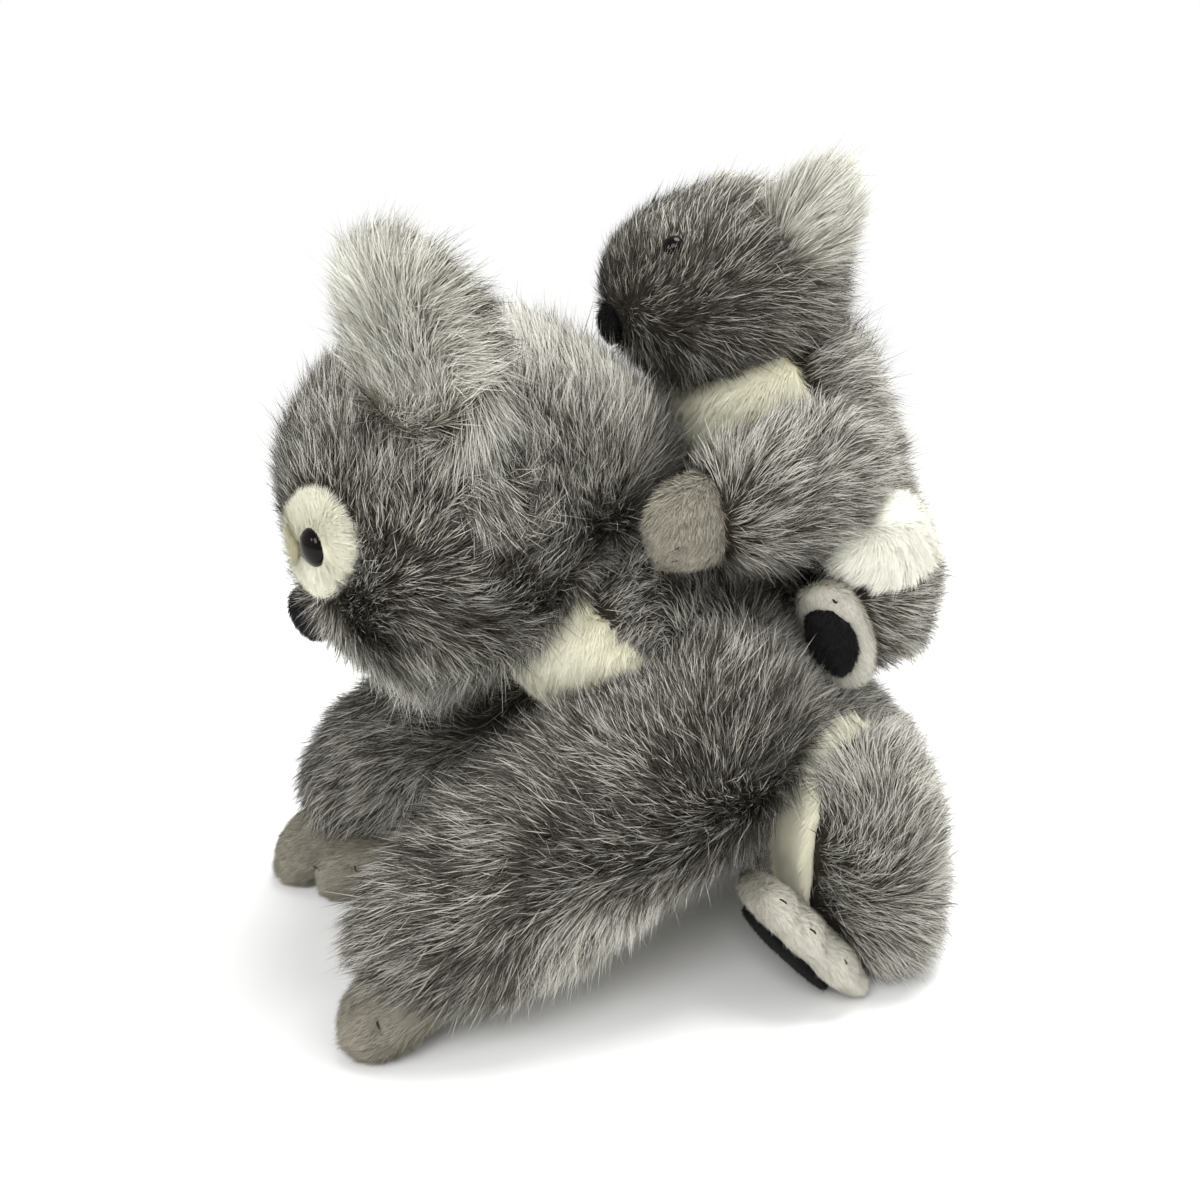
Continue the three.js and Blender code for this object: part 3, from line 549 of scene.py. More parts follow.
def addSkin(node):
    voxel, rounds = skinGrades[gradeOf(node)]
    shape = bmesh.new()
    shape.from_mesh(frame["nodes"][node].data)
    bmesh.ops.remove_doubles(shape, verts=shape.verts, dist=skinLook["weld"])
    form = bpy.data.objects.new(node + "_draft", meshOf(shape, node + "_draft"))
    scene.collection.objects.link(form)
    grid = form.modifiers.new("grid", "REMESH")
    grid.mode = "VOXEL"
    grid.voxel_size = voxel
    soft = form.modifiers.new("soft", "SMOOTH")
    soft.factor = skinLook["softness"]
    soft.iterations = rounds
    ready = form.evaluated_get(bpy.context.evaluated_depsgraph_get())
    data = bpy.data.meshes.new_from_object(ready)
    bpy.data.objects.remove(form)
    data.name = node + "_skin"
    stuff(data, node)
    data.polygons.foreach_set("use_smooth", [True] * len(data.polygons))
    data.materials.clear()
    data.materials.append(backingOf(node))
    piece = addPiece(node + "_skin", data)
    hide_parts(node)
    return piece


skins = {node: addSkin(node) for node, slot in frame["slots"].items()
         if slot not in ("eye", "lock_washer")}
print("stage: skins made,", sum(len(s.data.polygons) for s in skins.values()), "faces")


# Where the eyes' domes sit, so that no hair grows over them

eyeLook = {"segments": 40, "rings": 20, "bulge": 0.66, "rim": -0.25,
           "hairFade": 0.0022, "hairAhead": 0.02, "hairGap": 0.8,
           "mother": {"sunk": 0.0021, "back": 0.0024, "size": 0.88, "bare": 0.80, "tilt": 0.14},
           "joey": {"sunk": 0.0006, "back": 0.0, "size": 1.0, "bare": 0.82, "tilt": 0.0}}


def eyeSeat(node):
    # centre, axis and radius of the dome, from the CAD eye and its washer
    points = np.array([v.co for v in frame["nodes"][node].data.vertices])
    washer = np.array([v.co for v in frame["nodes"][node + "_washer"].data.vertices])
    inner = washer.mean(0)
    heights = points - inner
    axis = unit(heights[np.linalg.norm(heights, axis=1).argmax()])
    axis = unit(points[heights @ axis > 0].mean(0) - inner)
    along = heights @ axis
    radius = np.linalg.norm(heights - along[:, None] * axis, axis=1).max()
    look = eyeLook[node.split("_")[0]]
    top = along.max() - look["sunk"] - eyeLook["bulge"] * radius
    back = unit(np.array((0, 1, 0)) - axis[1] * axis)
    seat = inner + axis * top + back * look["back"]
    facing = unit(axis - look["tilt"] * back)
    return Vector(seat), Vector(facing), radius * look["size"]


eyeSeats = {node: eyeSeat(node) for node, slot in frame["slots"].items() if slot == "eye"}


def clearOfEyes(node, roots, ways, lengths):
    # hairs round an eye grow short, and those that lean towards it stop before it
    owner = node.split("_")[0]
    if "head" not in node and "eye" not in node:
        return lengths
    for eye, (centre, _, radius) in eyeSeats.items():
        if not eye.startswith(owner):
            continue
        away = np.array(centre) - roots
        bare = eyeLook[owner]["bare"]
        gap = np.linalg.norm(away, axis=1) - bare * radius
        near = np.clip(gap / eyeLook["hairFade"], 0, 1)
        ahead = (away * ways).sum(1)
        beside = np.linalg.norm(away - ahead[:, None] * ways, axis=1)
        meets = (ahead > 0) & (beside < bare * radius) & (ahead < eyeLook["hairAhead"])
        lengths = lengths * near
        most = np.maximum(ahead - eyeLook["hairGap"] * bare * radius, 0)
        lengths[meets] = np.minimum(lengths, most)[meets]
    return lengths


# How far each skin's points lie from the skins round them: pile grows only where it has room

roomLook = {"reach": 0.006, "lift": 0.0022, "touch": 0.0012, "covered": -0.001,
            "growthScale": 0.0012, "growthAtTouch": 0.2}


class SkinShape:
    def __init__(self, piece):
        data = piece.data
        data.calc_loop_triangles()
        self.points, self.normals = surfaceOf(data)
        self.faces = np.empty((len(data.loop_triangles), 3), np.int32)
        data.loop_triangles.foreach_get("vertices", self.faces.ravel())
        self.low = self.points.min(0)
        self.high = self.points.max(0)
        self.tree = BVHTree.FromPolygons(self.points.tolist(), self.faces.tolist())
        corners = self.points[self.faces]
        self.areas = np.linalg.norm(np.cross(corners[:, 1] - corners[:, 0],
                                             corners[:, 2] - corners[:, 0]), axis=1) / 2


shapes = {node: SkinShape(piece) for node, piece in skins.items()}


def roomAround(node):
    own = shapes[node]
    reach = roomLook["reach"]
    room = np.full(len(own.points), reach)
    tests = own.points + own.normals * roomLook["lift"]
    for other, shape in shapes.items():
        if other == node:
            continue
        near = np.all((tests > shape.low - reach) & (tests < shape.high + reach), axis=1)
        for index in np.nonzero(near)[0]:
            test = Vector(tests[index])
            hit, normal, _, gap = shape.tree.find_nearest(test, reach)
            if hit is not None:
                side = 1 if (test - hit).dot(normal) > 0 else -1
                room[index] = min(room[index], side * gap)
            up = Vector(own.normals[index])
            hit, normal, _, gap = shape.tree.ray_cast(Vector(own.points[index]), up, reach)
            if hit is not None and (normal.dot(up) > 0 or gap < roomLook["touch"]):
                room[index] = roomLook["covered"]
    return room


# Pile: each hair is a thin blade, bent over its length, and laid the way that it is combed

def hairForm(steps, widths):
    shape = bmesh.new()
    bmesh.ops.create_grid(shape, x_segments=1, y_segments=steps, size=1)
    for vert in shape.verts:
        along = (vert.co.y + 1) / 2
        vert.co = (vert.co.x * np.interp(along, *widths), 0, along)
    bmesh.ops.remove_doubles(shape, verts=shape.verts, dist=0.0001)
    bmesh.ops.triangulate(shape, faces=shape.faces)
    for face in shape.faces:
        face.normal_update()
        if face.normal.y < 0:
            face.normal_flip()
    shape.verts.index_update()
    points = np.array([v.co for v in shape.verts], np.float32)
    faces = np.array([[v.index for v in face.verts] for face in shape.faces], np.int32)
    shape.free()
    return points, faces


shortHair = hairForm(1, ((0, 1), (1, 0)))
bentHair = hairForm(2, ((0, 0.5, 1), (0, 1, 0)))
longHair = hairForm(3, ((0, 0.3, 0.7, 1), (0, 1, 0.9, 0)))


driftLook = {"waves": 7, "lengths": (0.7, 1.5), "strengths": (0.5, 1)}


def drift(points, wave, seed):
    # a smooth field of vectors that wanders over about one wave length
    rng = np.random.default_rng(seed)
    total = np.zeros((len(points), 3), np.float32)
    for _ in range(driftLook["waves"]):
        way = unit(rng.normal(size=3)) * 2 * math.pi / (wave * rng.uniform(*driftLook["lengths"]))
        phase = rng.uniform(0, 2 * math.pi, 3)
        swing = np.sin((points @ way)[:, None] + phase)
        total += swing * rng.uniform(*driftLook["strengths"])
    return total / math.sqrt(driftLook["waves"])


strokeBlur = 0.00007  # square metres: how far a stroke's middle spreads


def combed(points, strokes):
    # the way, tone and length at each point, from the strokes near it
    places, ways, rest = np.split(strokes, (3, 6), axis=1)
    gaps = ((points[:, None] - places[None] / 1000) ** 2).sum(2) + strokeBlur
    weights = gaps ** -2
    weights /= weights.sum(1, keepdims=True)
    return weights @ unit(ways), weights @ rest


def flattened(ways, normals):
    return ways - (ways * normals).sum(1, keepdims=True) * normals


def lockOf(roots, every):
    # the hair that leads each hair's lock: one hair in so many is a leader
    leaders = np.arange(0, len(roots), every)
    tree = KDTree(len(leaders))
    for place, leader in enumerate(leaders):
        tree.insert(roots[leader], place)
    tree.balance()
    return leaders[[tree.find(root)[1] for root in roots]]


def growRoots(node, amount, room, rng):
    # the place, normal and space of each hair in a layer
    shape = shapes[node]
    growth = np.clip(room[shape.faces].min(1) / roomLook["growthScale"]
                     + roomLook["growthAtTouch"], 0, 1)
    shares = shape.areas * growth
    count = int(amount * shares.sum() * 10000)
    if count < 1:
        return None
    edges = np.cumsum(shares) / shares.sum()
    picks = np.minimum(np.searchsorted(edges, rng.random(count)), len(edges) - 1)
    a, b = rng.random((2, count))
    flip = a + b > 1
    a[flip], b[flip] = 1 - a[flip], 1 - b[flip]
    mix = np.stack([1 - a - b, a, b], 1)[:, :, None]
    faces = shape.faces[picks]
    points = (shape.points[faces] * mix).sum(1)
    normals = unit((shape.normals[faces] * mix).sum(1))
    space = (room[faces] * mix[:, :, 0]).sum(1)
    return points, normals, space


bladeLook = {
    "proud": 0.0135,  # how far a hair may stand out of the CAD's box
    "floorGap": 0.0004, "floorRise": 0.0006, "floorTone": 0.2,  # hairs that lie on the floor
    "surfaceLoss": 0.4, "strandGain": 0.6,  # from light as on the surface to light as on a strand
    "mapEdge": 0.02, "mapWidth": 0.006, "mapRange": (0.01, 0.99),
    "mostTriangles": 195000,  # in one piece
}


def bladePoints(template, hair):
    # the corners of all blades, with each blade's own side and front
    side = unit(np.cross(hair["normals"], hair["ways"]))
    front = np.cross(hair["ways"], side)
    spin = hair["twist"][:, None]
    turned = side * np.cos(spin) + front * np.sin(spin)
    front = front * np.cos(spin) - side * np.sin(spin)
    high, wide = template[None, :, 2:], template[None, :, :1]
    points = (hair["roots"][:, None] + hair["lengths"][:, None, None]
              * (high * hair["ways"][:, None] + high ** 2 * hair["bends"][:, None])
              + hair["widths"][:, None, None] * wide * turned[:, None])
    points = np.clip(points, np.array(cadBounds[0]) - bladeLook["proud"],
                     np.array(cadBounds[1]) + bladeLook["proud"])
    floor = (bladeLook["floorGap"] + bladeLook["floorRise"] * high[:, :, 0]
             * (hair["tones"][:, None] + bladeLook["floorTone"]))
    points[:, :, 2] = np.maximum(points[:, :, 2], floor)
    return points, turned, front


def hairPiece(name, node, form, hair, coat):
    template, faces = form
    count, corners = len(hair["roots"]), len(template)
    points, side, front = bladePoints(template, hair)
    facing = coat["facing"]  # how far a hair is lit as a strand, not as the surface
    strand = bladeLook["strandGain"] * facing
    shading = unit((1 - bladeLook["surfaceLoss"] * facing) * hair["normals"][:, None]
                   + strand * front[:, None] + strand * template[None, :, :1] * side[:, None])
    index = (faces[None] + (np.arange(count) * corners)[:, None, None]).reshape(-1)
    data = bpy.data.meshes.new(name)
    data.vertices.add(count * corners)
    data.vertices.foreach_set("co", points.astype(np.float32).ravel())
    data.loops.add(len(index))
    data.loops.foreach_set("vertex_index", index.astype(np.int32))
    data.polygons.add(len(index) // 3)
    data.polygons.foreach_set("loop_start", np.arange(0, len(index), 3, dtype=np.int32))
    data.polygons.foreach_set("use_smooth", np.ones(len(index) // 3, bool))
    edge = bladeLook["mapEdge"]
    u = np.broadcast_to(template[None, :, 2] * (1 - 2 * edge) + edge, (count, corners))
    v = np.clip(hair["tones"][:, None] + bladeLook["mapWidth"] * template[None, :, 0],
                *bladeLook["mapRange"])
    places = np.stack([u, v], 2).reshape(-1, 2)[index].astype(np.float32)
    for mapName in ("furTone", "OFBake"):
        data.uv_layers.new(name=mapName).data.foreach_set("uv", places.ravel())
    data.update(calc_edges=True)
    kept = data.attributes.new("custom_normal", "FLOAT_VECTOR", "POINT")
    kept.data.foreach_set("vector", shading.astype(np.float32).ravel())
    data.materials.append(pileFinishes[coat["pile"]])
    carry(addPiece(name, data), node)
    return len(index) // 3


# How hairs stray from their strokes. Waves are in metres and leans in degrees. The rest are shares.
stray = {
    "calmFlow": 0.45, "leastCalm": 0.15,  # strokes that agree less leave the hairs unsteady
    "swayWave": 0.026, "across": 0.05,
    "leanFloor": 0.45, "leanNoise": 8, "leanDrift": 9, "leanWave": 0.022,
    "unsteadyRuffle": 0.6, "bendRuffle": 1.2,
    "lengthNoise": 0.16, "lengthRange": (0.25, 1.9), "least": 0.0005,
    "crampedShare": 0.45, "crampedRoom": 0.006, "crampedLeast": 0.35,
    "bendAlong": 0.25, "bendTuft": 0.13, "bendDown": 0.12, "leastPull": 0.5,
    "toneDrifts": ((0.016, 0.10, 6), (0.006, 0.07, 7)),  # wave, share, seed
    "toneRange": (0.02, 0.98), "shared": 0.28,
    "silver": (0.60, 0.34), "dark": (0.04, 0.14), "toneNoise": 0.09,
    "widthNoise": 0.2,
}


def layHairs(roots, normals, flow, coat, layer, seed, rng):
    # the way that each hair points, the way that it leans, and its ruffle
    count = len(roots)
    flow = flattened(flow, normals)
    calm = np.clip(np.linalg.norm(flow, axis=1) / stray["calmFlow"], stray["leastCalm"], 1)
    across = flattened(flow + coat["sway"] * drift(roots, stray["swayWave"], seed + 1), normals)
    across = unit(across + stray["across"] * rng.normal(size=roots.shape))
    floor = stray["leanFloor"]
    lean = np.radians((coat["lean"] + layer["lean"]) * (floor + (1 - floor) * calm)
                      + stray["leanNoise"] * rng.normal(size=count)
                      + stray["leanDrift"] * drift(roots, stray["leanWave"], seed + 2)[:, 0])
    loose = stray["unsteadyRuffle"]
    ruffle = coat["ruffle"] * (1 + loose - loose * calm)[:, None]
    ways = unit(normals * np.cos(lean)[:, None] + across * np.sin(lean)[:, None]
                + ruffle * rng.normal(size=roots.shape))
    return ways, across, ruffle


def cutHairs(node, roots, ways, space, share, coat, layer, rng):
    # the length of each hair: shorter where there is little space, and near eyes and stitches
    lengths = (coat["length"] * layer["share"] * share
               * (1 + stray["lengthNoise"] * rng.normal(size=len(roots))))
    low, high = stray["lengthRange"]
    lengths = np.clip(lengths, low * coat["length"], high * coat["length"])
    lengths *= np.clip(stray["crampedShare"] + space / stray["crampedRoom"],
                       stray["crampedLeast"], 1)
    lengths = clearOfEyes(node, roots, ways, lengths)
    for path, in marksOf(stitches, node):
        away = awayFrom(roots, path) / stitchLook["bare"]
        lengths *= np.clip(away, stitchLook["bareShare"], 1) ** stitchLook["bareFade"]
    return lengths


def bendHairs(roots, normals, laid, lengths, leader, coat, seed, rng):
    # each hair bends over, and its tip is drawn towards the tip of its lock's leader
    ways, across, ruffle = laid
    bends = (across * stray["bendAlong"]
             + drift(roots, coat["tuft"], seed + 3) * stray["bendTuft"]
             + ruffle * stray["bendRuffle"] * rng.normal(size=roots.shape)
             - normals * stray["bendDown"])
    bends[:, 2] -= coat["sag"]
    tips = roots + lengths[:, None] * (ways + bends)
    pull = (coat["pull"] * (stray["leastPull"] + rng.random(len(roots)))[leader])[:, None]
    apart = (tips[leader] - tips) / np.maximum(lengths, stray["least"])[:, None]
    return bends + pull * apart / np.maximum(1, np.linalg.norm(apart, axis=1))[:, None]


def toneHairs(roots, silver, leader, seed, rng):
    # a share of the hairs is silver and the rest is dark, partly by whole locks
    for wave, share, offset in stray["toneDrifts"]:
        silver = silver + share * drift(roots, wave, seed + offset)[:, 0]
    silver = np.clip(silver, *stray["toneRange"])
    chance = rng.random(len(roots))
    shared = rng.random(len(roots)) < stray["shared"]
    chance[shared] = chance[leader][shared]
    pale, dark = [base + gain * silver for base, gain in (stray["silver"], stray["dark"])]
    tones = np.where(chance < silver, pale, dark)
    tones += stray["toneNoise"] * rng.normal(size=len(roots))
    return np.clip(tones, *stray["toneRange"])


def growLayer(node, coat, layer, strokes, room, seed, rng):
    grown = growRoots(node, layer["amount"], room, rng)
    if grown is None:
        return 0
    roots, normals, space = grown
    count = len(roots)
    flow, rest = combed(roots, strokes)
    laid = layHairs(roots, normals, flow, coat, layer, seed, rng)
    lengths = cutHairs(node, roots, laid[0], space, rest[:, 1], coat, layer, rng)
    leader = lockOf(roots, layer["lock"])
    bends = bendHairs(roots, normals, laid, lengths, leader, coat, seed, rng)
    tones = toneHairs(roots, rest[:, 0] + layer["tone"], leader, seed, rng)
    hair = {"roots": roots, "normals": normals, "ways": laid[0], "bends": bends,
            "lengths": lengths, "tones": tones,
            "widths": coat["width"] * (1 + stray["widthNoise"] * rng.normal(size=count)),
            "twist": coat["twist"] * rng.normal(size=count)}
    kept = np.nonzero(lengths > stray["least"])[0]
    most = bladeLook["mostTriangles"] // len(layer["form"][1])
    parts = max(1, math.ceil(len(kept) / most))
    total = 0
    for part in range(parts):
        name = f"{node}_{layer['name']}" + (f"_{part + 1}" if parts > 1 else "")
        some = {key: value[kept[part::parts]] for key, value in hair.items()}
        total += hairPiece(name, node, layer["form"], some, coat)
    return total


def growPile(node, coat, strokes, seed):
    rng = np.random.default_rng(seed)
    room = roomAround(node)
    total = sum(growLayer(node, coat, layer, strokes, room, seed, rng)
                for layer in coat["layers"])
    print("pile:", node, round(shapes[node].areas.sum() * 10000), "cm2,", total, "triangles")
    return total


# The coats: lengths, widths and the wave of tufts in metres, amounts in hairs for each square
# centimetre, and leans in degrees from upright. The rest are shares.

def coatOf(pile, length, under, guard, width, form=bentHair, wisps=0, **changes):
    coat = {"pile": pile, "length": length, "width": width, "lean": 52, "sway": 0.30,
            "ruffle": 0.145, "tuft": 0.008, "sag": 0.04, "pull": 0.26, "facing": 0.8,
            "twist": 0.45, **changes}
    coat["layers"] = []
    if under:
        coat["layers"].append({"name": "underfur", "amount": under, "share": 0.6, "lean": -14,
                               "tone": -0.12, "lock": 5, "form": shortHair})
    coat["layers"].append({"name": "pile", "amount": guard, "share": 1.0, "lean": 0, "tone": 0,
                           "lock": 8, "form": form})
    if wisps:
        coat["layers"].append({"name": "wisps", "amount": wisps, "share": 1.12, "lean": -7,
                               "tone": 0.30, "lock": 1, "form": form})
    return coat


short = {"tuft": 0.004, "sag": 0.0, "sway": 0.15, "ruffle": 0.10, "pull": 0.1}
velvet = {**short, "lean": 62, "facing": 0.04, "ruffle": 0.05, "pull": 0.03, "twist": 0.1}
coats = {
    "motherGrey": coatOf("frosted", 0.0108, 110, 280, 0.000112, wisps=45),
    "motherBody": coatOf("frosted", 0.0108, 100, 210, 0.000120, wisps=30),
    "joeyGrey": coatOf("frosted", 0.0082, 120, 310, 0.000105, wisps=50, tuft=0.006),
    "earBack": coatOf("frosted", 0.0090, 100, 300, 0.00011, wisps=60),
    "earFront": coatOf("earPile", 0.0125, 160, 480, 0.00008, longHair, lean=60, pull=0.2,
                       sway=0.25),
    "joeyEar": coatOf("earPile", 0.0115, 160, 620, 0.00008, longHair, lean=60, pull=0.2,
                      ruffle=0.05, sway=0.15),
    "cream": coatOf("creamPile", 0.0044, 0, 800, 0.00018, shortHair, **velvet),
    "armCream": coatOf("creamPile", 0.0075, 0, 420, 0.00017, shortHair, **{**velvet, "lean": 50}),
    "legCream": coatOf("creamPile", 0.0046, 0, 800, 0.00017, shortHair, **velvet),
    "eyePatch": coatOf("patchPile", 0.0036, 0, 1900, 0.00014, shortHair, **{**velvet, "lean": 56}),
    "white": coatOf("whitePile", 0.0048, 0, 1500, 0.00017, shortHair, **velvet),
    "paw": coatOf("pawPile", 0.0028, 0, 1400, 0.00012, shortHair, **{**short, "lean": 60,
                  "ruffle": 0.16}),
    "foot": coatOf("footPile", 0.0022, 0, 1300, 0.00012, shortHair,
                   **{**short, "lean": 46, "facing": 0.3}),
    "black": coatOf("blackPile", 0.0016, 0, 850, 0.00014, shortHair, **{**short, "lean": 35}),
}
seedStart, seedStep = 100, 10

